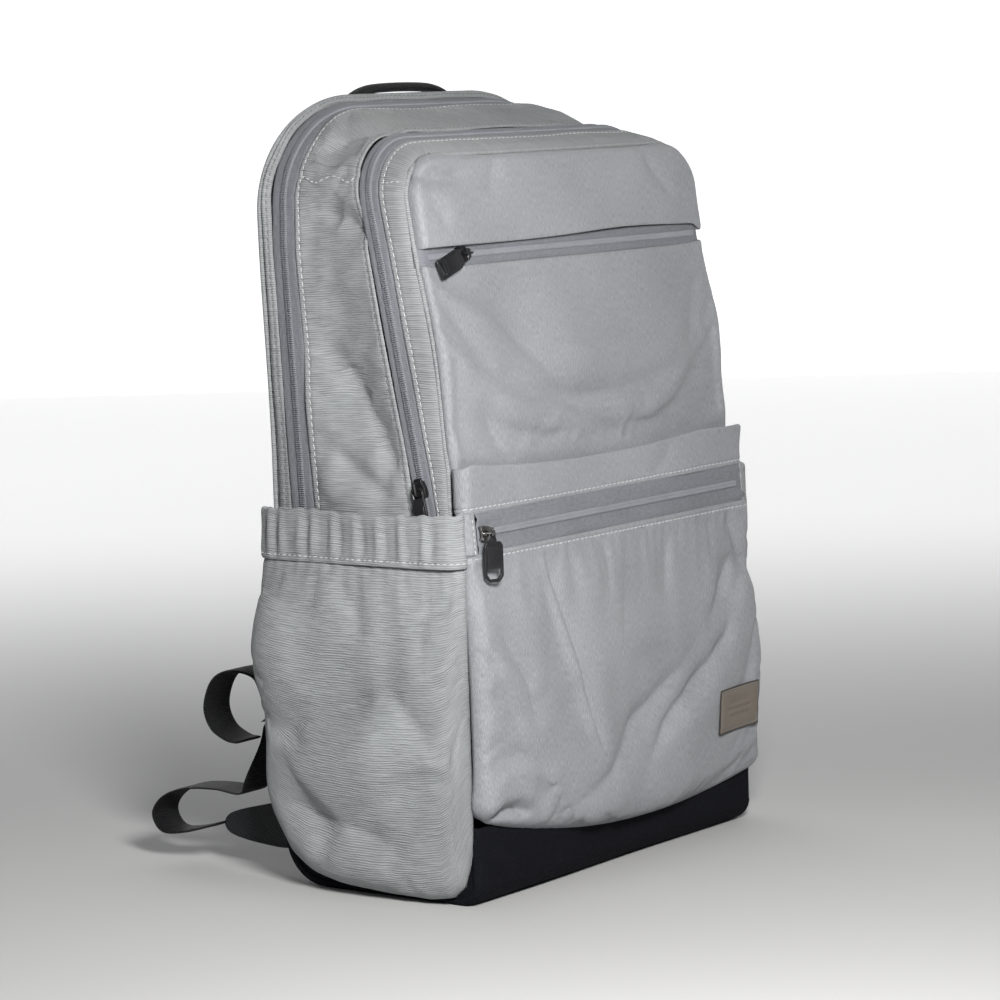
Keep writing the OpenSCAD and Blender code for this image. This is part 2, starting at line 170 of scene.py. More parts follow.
def maths(tree, operation, a, b=0.0, clamp=False):
    made = tree.nodes.new("ShaderNodeMath")
    made.operation = operation
    made.use_clamp = clamp
    for i, value in enumerate((a, b)):
        if isinstance(value, (int, float)):
            made.inputs[i].default_value = value
        else:
            tree.links.new(value, made.inputs[i])
    return made.outputs[0]


def new_material(name, roughness, metallic=0.0, specular=0.5, sheen=0.0):
    mat = bpy.data.materials.new(name)
    mat.use_nodes = True
    shader = mat.node_tree.nodes["Principled BSDF"]
    shader.inputs["Metallic"].default_value = metallic
    shader.inputs["Roughness"].default_value = roughness
    shader.inputs["Specular IOR Level"].default_value = specular
    shader.inputs["Sheen Weight"].default_value = sheen
    shader.inputs["Sheen Roughness"].default_value = 0.45
    return mat, mat.node_tree, shader


def streaks(tree, base, across, along, detail=2.0):
    """Noise drawn out along one direction of the cloth: sizes in metres."""
    scaled = add(tree, "ShaderNodeMapping", {"Scale": (1 / across, 1 / along, 1)}, {"Vector": base}, vector_type="POINT")
    return add(tree, "ShaderNodeTexNoise", {"Scale": 1.0, "Detail": detail, "Roughness": 0.6},
               {"Vector": scaled.outputs[0]}).outputs["Fac"]


def wave(tree, coordinate, pitch, phase):
    """A sine along one cloth coordinate, with the given pitch in metres, bent by the socket phase."""
    turned = maths(tree, "ADD", maths(tree, "MULTIPLY", coordinate, 2 * math.pi / pitch), phase)
    return maths(tree, "SINE", turned)


def cloth(name, light, dark, rib=0.0, rib_pitch=0.0015, streak=(0.009, 0.0008), contrast=1.0, bump=0.5,
          roughness=0.8, sheen=0.1, specular=0.25, thread=0.0008):
    """Woven cloth: ribs or a twill grain in the cloth's own coordinates, a fine weave, worn and mottled patches, and
    painted shade: the colour is darker in the grooves of the relief.
    """
    mat, tree, shader = new_material(name, roughness, specular=specular, sheen=sheen)
    weave = add(tree, "ShaderNodeAttribute", attribute_name="weave").outputs["Vector"]
    place = add(tree, "ShaderNodeTexCoord").outputs["Object"]
    parts = add(tree, "ShaderNodeSeparateXYZ", links={"Vector": weave})
    drift = add(tree, "ShaderNodeTexNoise", {"Scale": 55.0, "Detail": 2.0}, {"Vector": place}).outputs["Fac"]
    phase = maths(tree, "MULTIPLY", drift, 9.0)
    ribs = wave(tree, parts.outputs["Y"], rib_pitch, phase)
    fine_v = wave(tree, parts.outputs["Y"], thread, phase)
    fine_u = wave(tree, parts.outputs["X"], thread, phase)
    fine = maths(tree, "MULTIPLY", fine_u, fine_v)
    drawn = streaks(tree, weave, *streak)
    grain = maths(tree, "SUBTRACT", drawn, 0.5)
    height = maths(tree, "ADD", maths(tree, "MULTIPLY", ribs, 0.5 * rib), maths(tree, "MULTIPLY", fine, 0.22))
    height = maths(tree, "ADD", height, maths(tree, "MULTIPLY", grain, 2.2))
    patches = add(tree, "ShaderNodeTexNoise", {"Scale": 14.0, "Detail": 4.0, "Roughness": 0.55},
                  {"Vector": place}).outputs["Fac"]
    # Painted shade: the colour follows the relief height, lighter on the ribs and threads and darker in the grooves
    # between them. The grain streaks and the patches add random tone.
    relief_shade_and_tone = maths(tree, "MULTIPLY", maths(tree, "ADD", height, 0.0), 0.30 * contrast)
    relief_shade_and_tone = maths(tree, "ADD", relief_shade_and_tone, maths(tree, "MULTIPLY", maths(tree, "SUBTRACT", patches, 0.5), 0.75))
    relief_shade_and_tone = maths(tree, "ADD", relief_shade_and_tone, 0.6, clamp=True)
    blend = add(tree, "ShaderNodeMix", links={"Factor": relief_shade_and_tone}, data_type="RGBA")
    blend.inputs[6].default_value = (*dark, 1)
    blend.inputs[7].default_value = (*light, 1)
    tree.links.new(blend.outputs[2], shader.inputs["Base Color"])
    rough = maths(tree, "ADD", maths(tree, "MULTIPLY", patches, 0.16), roughness - 0.08, clamp=True)
    tree.links.new(rough, shader.inputs["Roughness"])
    raised = add(tree, "ShaderNodeBump", {"Strength": bump, "Distance": 0.00035}, {"Height": height})
    tree.links.new(raised.outputs["Normal"], shader.inputs["Normal"])
    return mat


def solid(name, light, dark, roughness, metallic=0.0, specular=0.5, grain=900.0, bump=0.15, wear=0.0):
    """Moulded plastic, painted metal or leather: a grain, mottling and, with wear, scuffed edges."""
    mat, tree, shader = new_material(name, roughness, metallic, specular)
    place = add(tree, "ShaderNodeTexCoord").outputs["Object"]
    fine = add(tree, "ShaderNodeTexNoise", {"Scale": grain, "Detail": 3.0}, {"Vector": place}).outputs["Fac"]
    broad = add(tree, "ShaderNodeTexNoise", {"Scale": 60.0, "Detail": 3.0}, {"Vector": place}).outputs["Fac"]
    factor = maths(tree, "ADD", maths(tree, "MULTIPLY", fine, 0.4), maths(tree, "MULTIPLY", broad, 0.6))
    if wear:
        edge = add(tree, "ShaderNodeNewGeometry").outputs["Pointiness"]
        sharp = add(tree, "ShaderNodeMapRange", {"From Min": 0.53, "From Max": 0.62, "To Max": wear},
                    {"Value": edge}).outputs["Result"]
        factor = maths(tree, "ADD", factor, sharp, clamp=True)
    blend = add(tree, "ShaderNodeMix", links={"Factor": factor}, data_type="RGBA")
    blend.inputs[6].default_value = (*dark, 1)
    blend.inputs[7].default_value = (*light, 1)
    tree.links.new(blend.outputs[2], shader.inputs["Base Color"])
    rough = maths(tree, "ADD", maths(tree, "MULTIPLY", broad, 0.2), roughness - 0.1, clamp=True)
    tree.links.new(rough, shader.inputs["Roughness"])
    raised = add(tree, "ShaderNodeBump", {"Strength": bump, "Distance": 0.0002}, {"Height": fine})
    tree.links.new(raised.outputs["Normal"], shader.inputs["Normal"])
    return mat


MATS = {
    "side_fabric": cloth("ribbed side cloth", (0.35, 0.365, 0.373), (0.13, 0.138, 0.144), rib=0.9, rib_pitch=0.0013, contrast=1.8,
                         streak=(0.014, 0.0009), bump=0.7),
    "front_fabric": cloth("satin front cloth", (0.322, 0.331, 0.350), (0.149, 0.154, 0.166), rib=0.0,
                          streak=(0.0006, 0.0034), contrast=2.3, roughness=0.6, sheen=0.12, specular=0.35, bump=0.6),
    "base_fabric": cloth("black base cloth", (0.0085, 0.009, 0.012), (0.003, 0.003, 0.0045), rib=0.4, thread=0.0013,
                         streak=(0.002, 0.002), roughness=0.85, contrast=1.6, bump=0.8, sheen=0.0, specular=0.08),
    "lining": cloth("lining", (0.10, 0.105, 0.115), (0.06, 0.062, 0.07), streak=(0.002, 0.002), roughness=0.7),
    "zip_tape": cloth("zip tape", (0.212, 0.223, 0.245), (0.105, 0.111, 0.126), rib=0.6, rib_pitch=0.0011,
                      streak=(0.0016, 0.004), roughness=0.75, contrast=1.4),
    "webbing": cloth("webbing", (0.014, 0.0145, 0.016), (0.004, 0.004, 0.005), rib=1.4, rib_pitch=0.0016,
                     streak=(0.006, 0.0008), contrast=1.5, roughness=0.6, bump=0.9, specular=0.2, sheen=0.0),
    "anchor_fabric": cloth("anchor twill", (0.020, 0.021, 0.024), (0.007, 0.007, 0.009), rib=1.2, rib_pitch=0.0018,
                           streak=(0.003, 0.001), roughness=0.55, bump=0.9, specular=0.3, sheen=0.0),
    "strap_fabric": cloth("strap cloth", (0.017, 0.018, 0.021), (0.006, 0.006, 0.008), rib=0.5, thread=0.0011,
                          streak=(0.003, 0.002), roughness=0.8, specular=0.15, sheen=0.0),
    "back_mesh": cloth("air mesh", (0.034, 0.036, 0.040), (0.006, 0.006, 0.008), rib=1.6, rib_pitch=0.0042,
                       thread=0.0034, streak=(0.002, 0.002), contrast=2.2, bump=1.0, roughness=0.9, specular=0.15,
                       sheen=0.0),
    "zip_coil": solid("nylon coil", (0.235, 0.245, 0.272), (0.12, 0.126, 0.142), 0.5, specular=0.4),
    "slider": solid("black painted metal", (0.009, 0.009, 0.010), (0.004, 0.004, 0.005), 0.42, specular=0.4, wear=0.5),
    "bright_slider": solid("gunmetal", (0.62, 0.60, 0.58), (0.22, 0.21, 0.20), 0.18, metallic=1.0, wear=0.8),
    "zip_pull": solid("black enamelled pull", (0.015, 0.015, 0.017), (0.007, 0.007, 0.008), 0.34, specular=0.6),
    "buckle": solid("black acetal", (0.022, 0.022, 0.024), (0.012, 0.012, 0.013), 0.42, wear=0.4),
    "stiffener": solid("stiffener sheet", (0.60, 0.60, 0.58), (0.48, 0.48, 0.46), 0.5),
    "label": solid("label leather", (0.215, 0.185, 0.150), (0.130, 0.112, 0.094), 0.62, specular=0.35, grain=1400.0,
                   bump=0.6, wear=0.3),
    "solar_fabric": cloth("panel cloth", (0.03, 0.035, 0.034), (0.016, 0.018, 0.018), roughness=0.6),
    "solar_cell": solid("solar cell", (0.012, 0.018, 0.06), (0.005, 0.008, 0.03), 0.18, specular=0.8),
    "junction_plastic": solid("junction plastic", (0.03, 0.03, 0.032), (0.02, 0.02, 0.02), 0.45),
    "socket_metal": solid("socket steel", (0.62, 0.62, 0.63), (0.45, 0.45, 0.46), 0.25, metallic=1.0),
}
THREAD = cloth("white thread", (0.60, 0.61, 0.62), (0.40, 0.41, 0.42), streak=(0.0004, 0.002), roughness=0.6)
DARK_THREAD = cloth("grey thread", (0.20, 0.205, 0.215), (0.12, 0.125, 0.13), streak=(0.0004, 0.002), roughness=0.7)
BLACK_THREAD = cloth("black thread", (0.03, 0.03, 0.033), (0.015, 0.015, 0.016), streak=(0.0004, 0.002))
EDGE_INK = solid("label edge", (0.030, 0.026, 0.024), (0.016, 0.014, 0.013), 0.5)

SLOT_OF = {row["node"]: row["material_slot"] for row in frame["record"]["subparts"]}
for node_name, cad_node in frame["nodes"].items():
    slot_name = SLOT_OF[node_name]
    cad_node.data.materials.clear()
    cad_node.data.materials.append(MATS[slot_name])


# ---------------------------------------------------------------- mesh tools
def build(name, verts, faces, slot, body="bag", mat=None, coords=None, replaces=()):
    """A shown piece from vertices in millimetres."""
    mesh = bpy.data.meshes.new(name)
    mesh.from_pydata([tuple(v) for v in (np.asarray(verts, float) * MM)], [], [tuple(map(int, f)) for f in faces])
    mesh.polygons.foreach_set("use_smooth", [True] * len(mesh.polygons))
    if coords is not None:
        attribute = mesh.attributes.new("weave", "FLOAT_VECTOR", "POINT")
        attribute.data.foreach_set("vector", np.asarray(coords, np.float32).ravel())
    mesh.validate()
    mesh.update()
    return adopt(bpy.data.objects.new(name, mesh), slot, body, mat, replaces)


def adopt(piece, slot, body="bag", mat=None, replaces=()):
    """Links a finished piece, gives it its finish and seats it on its body."""
    if piece.name not in scene.collection.objects:
        scene.collection.objects.link(piece)
    piece.data.materials.clear()
    piece.data.materials.append(mat or MATS[slot])
    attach(piece, body)
    if replaces:
        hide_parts(*replaces)
    return piece


def unit(v):
    return v / np.maximum(np.linalg.norm(v, axis=-1, keepdims=True), 1e-9)


def grid_normals(grid, outward):
    """Unit normals of a grid of points, turned towards the side where outward is positive."""
    down = np.gradient(grid, axis=0)
    over = np.gradient(grid, axis=1)
    normal = unit(np.cross(over, down))
    if np.sum(normal * outward) < 0:
        normal = -normal
    return normal


def outward_from(grid, centre=(0, 10, 230)):
    return grid - np.array(centre, float)


def quads(rows, cols, start=0, flip=False, wrap=False):
    i = np.arange(rows - 1)[:, None]
    j = np.arange(cols if wrap else cols - 1)[None, :]
    nxt = (j + 1) % cols
    a, b, c, d = i * cols + j, i * cols + nxt, (i + 1) * cols + nxt, (i + 1) * cols + j
    made = np.stack([a, b, c, d], -1).reshape(-1, 4) + start
    return made[:, ::-1] if flip else made


def arc_coords(grid):
    """Cloth coordinates in metres: distances across and along the grid."""
    over = np.linalg.norm(np.diff(grid, axis=1), axis=-1)
    down = np.linalg.norm(np.diff(grid, axis=0), axis=-1)
    u = np.concatenate([[0], np.cumsum(over.mean(0))])
    v = np.concatenate([[0], np.cumsum(down.mean(1))])
    uu, vv = np.meshgrid(u, v)
    return np.stack([uu, vv, 0 * uu], -1) * MM


def panel(name, grid, slot, replaces=(), thick=1.2, outward=None, body="bag", coords=None, mat=None):
    """A piece of cloth from a grid of outer points: a closed shell with its thickness inwards."""
    grid = np.asarray(grid, float)
    rows, cols, _ = grid.shape
    normal = grid_normals(grid, outward_from(grid) if outward is None else outward)
    over = np.gradient(grid, axis=1)
    down = np.gradient(grid, axis=0)
    flip = np.sum(np.cross(over, down) * normal) > 0
    inner = grid - normal * thick
    verts = np.concatenate([grid.reshape(-1, 3), inner.reshape(-1, 3)])
    count = rows * cols
    faces = [quads(rows, cols, 0, not flip), quads(rows, cols, count, flip)]
    ring_ids = np.concatenate([np.arange(cols), np.arange(1, rows) * cols + cols - 1,
                               (rows - 1) * cols + np.arange(cols - 2, -1, -1), np.arange(rows - 2, 0, -1) * cols])
    following = np.roll(ring_ids, -1)
    rim = np.stack([ring_ids, following, following + count, ring_ids + count], -1)
    faces.append(rim if not flip else rim[:, ::-1])
    flat = arc_coords(grid) if coords is None else coords
    flat = np.concatenate([flat.reshape(-1, 3)] * 2)
    piece = build(name, verts, np.concatenate(faces), slot, body, mat, flat, replaces)
    return piece, grid, normal


def tube(name, path, slot, radius, body="bag", sides=10, squash=(1.0, 1.0), mat=None, frame_x=None, replaces=()):
    """A round or flattened tube along a path; frame_x is the direction that squash[0] scales."""
    path = np.asarray(path, float)
    tangent = unit(np.gradient(path, axis=0))
    first = np.array(frame_x if frame_x is not None else (0.0, 0.0, 1.0))
    side = unit(first - tangent * (tangent @ first)[:, None])
    other = np.cross(tangent, side)
    angle = np.linspace(0, 2 * math.pi, sides, endpoint=False)
    size = np.broadcast_to(radius, (len(path),))
    ring_pts = path[:, None] + size[:, None, None] * (
        side[:, None] * np.cos(angle)[None, :, None] * squash[0]
        + other[:, None] * np.sin(angle)[None, :, None] * squash[1])
    verts = np.concatenate([ring_pts.reshape(-1, 3), path[:1], path[-1:]])
    faces = [tuple(f) for f in quads(len(path), sides, 0, False, wrap=True)]
    last = (len(path) - 1) * sides
    for k in range(sides):
        faces.append((len(verts) - 2, (k + 1) % sides, k))
        faces.append((len(verts) - 1, last + k, last + (k + 1) % sides))
    run = np.concatenate([[0], np.cumsum(np.linalg.norm(np.diff(path, axis=0), axis=1))])
    flat = np.zeros((len(verts), 3))
    flat[:-2, 0] = np.tile(angle * np.mean(size), len(path)) * MM
    flat[:-2, 1] = np.repeat(run, sides) * MM
    piece = build(name, verts, faces, slot, body, mat, flat, replaces)
    mesh = piece.data
    fix = bmesh.new()
    fix.from_mesh(mesh)
    bmesh.ops.recalc_face_normals(fix, faces=fix.faces)
    fix.to_mesh(mesh)
    fix.free()
    return piece


def along(path, pitch, trim=0.5):
    """Points and tangents at equal steps along a path."""
    path = np.asarray(path, float)
    run = np.concatenate([[0], np.cumsum(np.linalg.norm(np.diff(path, axis=0), axis=1))])
    count = max(2, int((run[-1] - 2 * trim * pitch) / pitch) + 1)
    at = trim * pitch + np.arange(count) * pitch
    points = np.stack([np.interp(at, run, path[:, k]) for k in range(3)], -1)
    ahead = np.stack([np.interp(at + 0.4, run, path[:, k]) for k in range(3)], -1)
    behind = np.stack([np.interp(at - 0.4, run, path[:, k]) for k in range(3)], -1)
    return points, unit(ahead - behind), at, run


def scatter(name, shape, faces, origins, ax, ay, az, slot, mat=None, body="bag", replaces=()):
    """Many copies of one small shape, each in its own axes, as one mesh."""
    shape = np.asarray(shape, float)
    verts = (origins[:, None] + shape[None, :, 0:1] * ax[:, None] + shape[None, :, 1:2] * ay[:, None]
             + shape[None, :, 2:3] * az[:, None])
    count = len(shape)
    all_faces = [tuple(i + k * count for i in f) for k in range(len(origins)) for f in faces]
    flat = np.tile(shape * MM, (len(origins), 1)) + np.repeat(origins, count, 0) * MM * 0.1
    return build(name, verts.reshape(-1, 3), all_faces, slot, body, mat, flat, replaces)


def stitch_shape(length, width, height):
    """One raised stitch, along X, as a small capsule that dips into the cloth at its ends."""
    stations = [(-0.5, 0.25, -0.35), (-0.36, 0.8, 0.05), (0.0, 1.0, 0.3), (0.36, 0.8, 0.05), (0.5, 0.25, -0.35)]
    sides = 6
    verts = []
    for t, scale, lift in stations:
        for k in range(sides):
            a = 2 * math.pi * k / sides
            verts.append((t * length, math.cos(a) * width / 2 * scale, math.sin(a) * height / 2 * scale + lift * height))
    faces = [tuple(f) for f in quads(len(stations), sides, 0, False, wrap=True)]
    faces.append(tuple(range(sides - 1, -1, -1)))
    faces.append(tuple(range(4 * sides, 5 * sides)))
    return verts, faces


def stitches(name, path, normal, slot, mat=None, length=3.1, pitch=4.3, width=0.75, height=0.6, slant=0.12, body="bag"):
    """A row of stitches along a path that has a normal at each point."""
    points, tangent, at, run = along(path, pitch)
    up = unit(np.stack([np.interp(at, run, np.asarray(normal)[:, k]) for k in range(3)], -1))
    side = unit(np.cross(up, tangent))
    turned = unit(tangent + side * slant)
    side = unit(np.cross(up, turned))
    verts, faces = stitch_shape(length, width, height)
    return scatter(name, verts, faces, points + up * 0.12, turned, side, up, slot, mat or THREAD, body)


TOOTH = [(-2.15, 0.0), (-2.1, 0.75), (-1.5, 1.25), (-0.55, 1.45), (0.0, 1.0), (0.55, 1.45), (1.5, 1.25), (2.1, 0.75),
         (2.15, 0.0)]


def coil(name, path, normal, replaces, pitch=1.25, body="bag"):
    """The two rows of coil turns of a closed zip, with the groove where they meet."""
    points, tangent, at, run = along(path, pitch)
    up = unit(np.stack([np.interp(at, run, np.asarray(normal)[:, k]) for k in range(3)], -1))
    side = unit(np.cross(up, tangent))
    half = 0.42
    verts = []
    for x, scale in ((-half, 0.72), (-half * 0.45, 1.0), (half * 0.45, 1.0), (half, 0.72)):
        verts += [(x, y, z * scale - 0.1) for y, z in TOOTH]
    count = len(TOOTH)
    faces = [tuple(f) for f in quads(4, count, 0, True)]
    faces.append(tuple(range(count)))
    faces.append(tuple(range(4 * count - 1, 3 * count - 1, -1)))
    faces += [(k * count, (k + 1) * count, (k + 2) * count - 1, (k + 1) * count - 1) for k in range(3)]
    return scatter(name, verts, faces, points, tangent, side, up, "zip_coil", None, body, replaces)


def ease(t):
    t = np.clip(t, 0, 1)
    return t * t * (3 - 2 * t)


def hump(x, centre, width):
    return np.exp(-(((x - centre) / width) ** 2))


def uneven(u, v, seed, low, high, count=7):
    """Soft unevenness: plane waves with lengths from low to high, about one unit high."""
    draw = np.random.default_rng(seed)
    total = 0 * u
    for _ in range(count):
        angle, length, phase = draw.uniform(0, math.pi), draw.uniform(low, high), draw.uniform(0, 2 * math.pi)
        total = total + np.sin(2 * math.pi * (u * math.cos(angle) + v * math.sin(angle)) / length + phase)
    return total / math.sqrt(count)


FOLD = 1.3


def crease(u, v, points, width, depth, lip=0.5, fade=0.3, lean=0.0):
    """A valley along a line of points, with a raised lip on each side, that fades at both ends."""
    pts = np.asarray(points, float)
    best = np.full(np.shape(u), 1e9)
    where = np.zeros(np.shape(u))
    sign = np.zeros(np.shape(u))
    lengths = np.linalg.norm(np.diff(pts, axis=0), axis=1)
    starts = np.concatenate([[0], np.cumsum(lengths)])
    for k in range(len(pts) - 1):
        d = pts[k + 1] - pts[k]
        t = np.clip(((u - pts[k][0]) * d[0] + (v - pts[k][1]) * d[1]) / (d @ d), 0, 1)
        du, dv = u - pts[k][0] - t * d[0], v - pts[k][1] - t * d[1]
        dist = np.hypot(du, dv)
        near = dist < best
        best = np.where(near, dist, best)
        where = np.where(near, (starts[k] + t * lengths[k]) / starts[-1], where)
        sign = np.where(near, np.sign(d[0] * dv - d[1] * du), sign)
    strength = ease(where / fade) * ease((1 - where) / fade)
    taper = width * (0.75 + 0.5 * strength) * (1 + lean * sign)
    valley = -0.7 * np.exp(-((best / taper) ** 2)) - 0.5 * np.exp(-best / (0.45 * width))
    ridge = lip * (0.62 + 0.38 * sign) * np.exp(-(((best - 2.2 * taper) / (2.0 * taper)) ** 2))
    return FOLD * depth * strength * (valley + ridge)


def spread(width, step, ends=(True, True)):
    """Distances across a strip: close together at a sewn end, and step apart in the middle."""
    fine = [0, 0.35, 0.8, 1.4, 2.1, 2.7, 3.2, 3.7, 4.4, 5.4, 6.8, 8.6]
    reach = width / 2
    left = [d for d in fine if d < reach * 0.95] if ends[0] else [0]
    right = [d for d in fine if d < reach * 0.95] if ends[1] else [0]
    count = max(2, int(round((width - left[-1] - right[-1]) / step)))
    middle = list(np.linspace(left[-1], width - right[-1], count + 1)[1:-1])
    return np.array(left + middle + [width - d for d in reversed(right)])


def folded(d, gather=0.0):
    """Height of a turned and top-stitched edge over the distance d from it."""
    return -1.1 * np.exp(-d / 0.7) + 0.75 * np.exp(-((d / 7.0) ** 2)) - (0.55 + gather) * hump(d, 3.2, 0.9)


def sewn(d):
    """Height of a panel where it dips into a plain seam."""
    return -1.7 * np.exp(-d / 1.5) + 0.35 * hump(d, 5.0, 3.0)


def cubic(at, count):
    """Catmull-Rom weights that read count samples at the given places from 0 to 1."""
    at = np.clip(np.asarray(at, float), 0, 1) * (count - 1)
    base = np.clip(np.floor(at).astype(int), 0, count - 2)
    t = at - base
    weights = np.zeros((len(at), count))
    parts = (-0.5 * t + t**2 - 0.5 * t**3, 1 - 2.5 * t**2 + 1.5 * t**3, 0.5 * t + 2 * t**2 - 1.5 * t**3,
             -0.5 * t**2 + 0.5 * t**3)
    for k, part in enumerate(parts):
        np.add.at(weights, (np.arange(len(at)), np.clip(base + k - 1, 0, count - 1)), part)
    return weights


# ---------------------------------------------------------------- the bag's outline
BACK_Y = box_mm("back_panel")[1][1]
HALF_W = box_mm("back_panel")[1][0]
BODY_H = box_mm("back_panel")[1][2]
FRONT_TOP_Y, FRONT_TOP_Z = -34.0, 428.0
FRONT_MID_Y, FRONT_MID_Z = -61.0, 250.0
FRONT_LOW_Y = -64.0
TAPER = 0.022
FOOT_Z = 20.0
EDGE_ROUND = 5.0
FACE_LIFT = 1.2
MAIN_ZIP = (48.0, 228.0, 0.05)
FRONT_ZIP = (-38.5, 240.0, 0.19)
MAIN_TAPE, FRONT_TAPE = 8.5, 7.0
ZIP_END_Z = 190.0
UPPER_ZIP_Z, LOWER_ZIP_Z = 371.0, 215.0


def front_y(z):
    upper = FRONT_MID_Y + (FRONT_TOP_Y - FRONT_MID_Y) * (z - FRONT_MID_Z) / (FRONT_TOP_Z - FRONT_MID_Z)
    lower = FRONT_LOW_Y + (FRONT_MID_Y - FRONT_LOW_Y) * (z - 14.0) / (FRONT_MID_Z - 14.0)
    return np.where(z > FRONT_MID_Z, upper, lower)


def face_swell(z):
    """How far the front's edges stand out between the zip and the pocket."""
    return 3.6 * hump(z, 318, 42)


def ring(s, y):
    """x and z of the outline at station s (0 left foot, 1 to 2 left corner, 2 to 3 top, 5 right foot) and depth y."""
    far = np.clip((BACK_Y - y) / (BACK_Y - FRONT_TOP_Y), 0, 1)
    width = HALF_W - TAPER * (BACK_Y - y)
    high = BODY_H - (BODY_H - FRONT_TOP_Z) * far
    corner_a = 86 - 60 * far
    corner_b = 66 - 40 * far
    t = np.where(s > 2.5, 5 - s, s)
    side = np.where(s > 2.5, 1.0, -1.0)
    angle = np.clip(t - 1, 0, 1) * math.pi / 2
    top = np.clip(t - 2, 0, 0.5)
    x = (width - corner_a) * (1 - 2 * top) + corner_a * np.cos(angle)
    z = np.where(t < 1, FOOT_Z + np.clip(t, 0, 1) * (high - corner_b - FOOT_Z),
                 high - corner_b + corner_b * np.sin(angle))
    return side * x, z


def waist(z):
    """How far the rear corners draw in between the side pockets and the shoulders."""
    return 5.5 * ease((400 - z) / 150)


def zip_depth(s, line, offset):
    """Depth at which the outline at station s is offset behind a leaning zip line."""
    y = np.full(np.shape(s), line[0])
    for _ in range(8):
        y = line[0] + offset + line[2] * (np.maximum(ring(s, y)[1], ZIP_END_Z) - line[1])
    return y


def seam_depth(s):
    """Depth of the seam between the side strip and the front panels."""
    y = np.full(np.shape(s), -50.0)
    for _ in range(8):
        z = ring(s, y)[1]
        y = front_y(z) + EDGE_ROUND - FACE_LIFT - face_swell(z)
    return y


def stations(low=0.0, step=2.4):
    """Stations of the outline about step apart, from the left foot to the right foot."""
    high = float(1.0)
    side = np.linspace(low, high, int((high - low) * 385 / step))
    corner = np.linspace(1, 2, int(105 / step))[1:]
    top = np.linspace(2, 3, int(125 / step))[1:]
    left = np.concatenate([side, corner])
    return np.concatenate([left, top, 5 - left[::-1][1:]])


def strip(s, start, end, across):
    """Grid of outline points between two depths that vary with the station."""
    share = across[None, :]
    y = start[:, None] + (end - start)[:, None] * share
    x, z = ring(s[:, None] + 0 * y, y)
    foot = 41 + np.sqrt(np.maximum(900 - np.clip(30 - z, 0, 30) ** 2, 0))
    y = np.minimum(y, np.where(z < 30, foot, 100))
    x = x - np.sign(x) * waist(z) * np.clip((y - 50) / 22, 0, 1)
    return np.stack([x, y, z], -1)


# ---------------------------------------------------------------- cloth simulation
SIM = {}


def want_settled(key, grid, pins, swell, slack, stiff=2.0, cap=6.0):
    """Asks for a cloth simulation of a coarse copy of grid: pins is 1 where it is sewn."""
    rows = np.linspace(0, 1, max(8, int(np.linalg.norm(np.diff(grid, axis=0), axis=-1).mean(1).sum() / 4.5)))
    cols = np.linspace(0, 1, max(8, int(np.linalg.norm(np.diff(grid, axis=1), axis=-1).mean(0).sum() / 4.5)))
    run_v = np.concatenate([[0], np.cumsum(np.linalg.norm(np.diff(grid, axis=0), axis=-1).mean(1))])
    run_u = np.concatenate([[0], np.cumsum(np.linalg.norm(np.diff(grid, axis=1), axis=-1).mean(0))])
    run_v, run_u = run_v / run_v[-1], run_u / run_u[-1]
    pick_v = np.interp(rows, run_v, np.arange(len(run_v)))
    pick_u = np.interp(cols, run_u, np.arange(len(run_u)))
    take = lambda field: np.stack([bilinear(field[..., k], pick_v, pick_u) for k in range(field.shape[-1])], -1)
    coarse = take(grid)
    held = bilinear(pins, pick_v, pick_u)
    SIM[key] = {"coarse": coarse, "held": held, "swell": swell, "slack": slack, "stiff": stiff, "cap": cap,
                "read": (run_v, run_u), "moved": np.zeros_like(coarse)}


def bilinear(field, at_v, at_u):
    v0 = np.clip(np.floor(at_v).astype(int), 0, field.shape[0] - 2)
    u0 = np.clip(np.floor(at_u).astype(int), 0, field.shape[1] - 2)
    tv, tu = (at_v - v0)[:, None], (at_u - u0)[None, :]
    f = lambda a, b: field[np.ix_(v0 + a, u0 + b)]
    return (f(0, 0) * (1 - tv) * (1 - tu) + f(1, 0) * tv * (1 - tu) + f(0, 1) * (1 - tv) * tu + f(1, 1) * tv * tu)


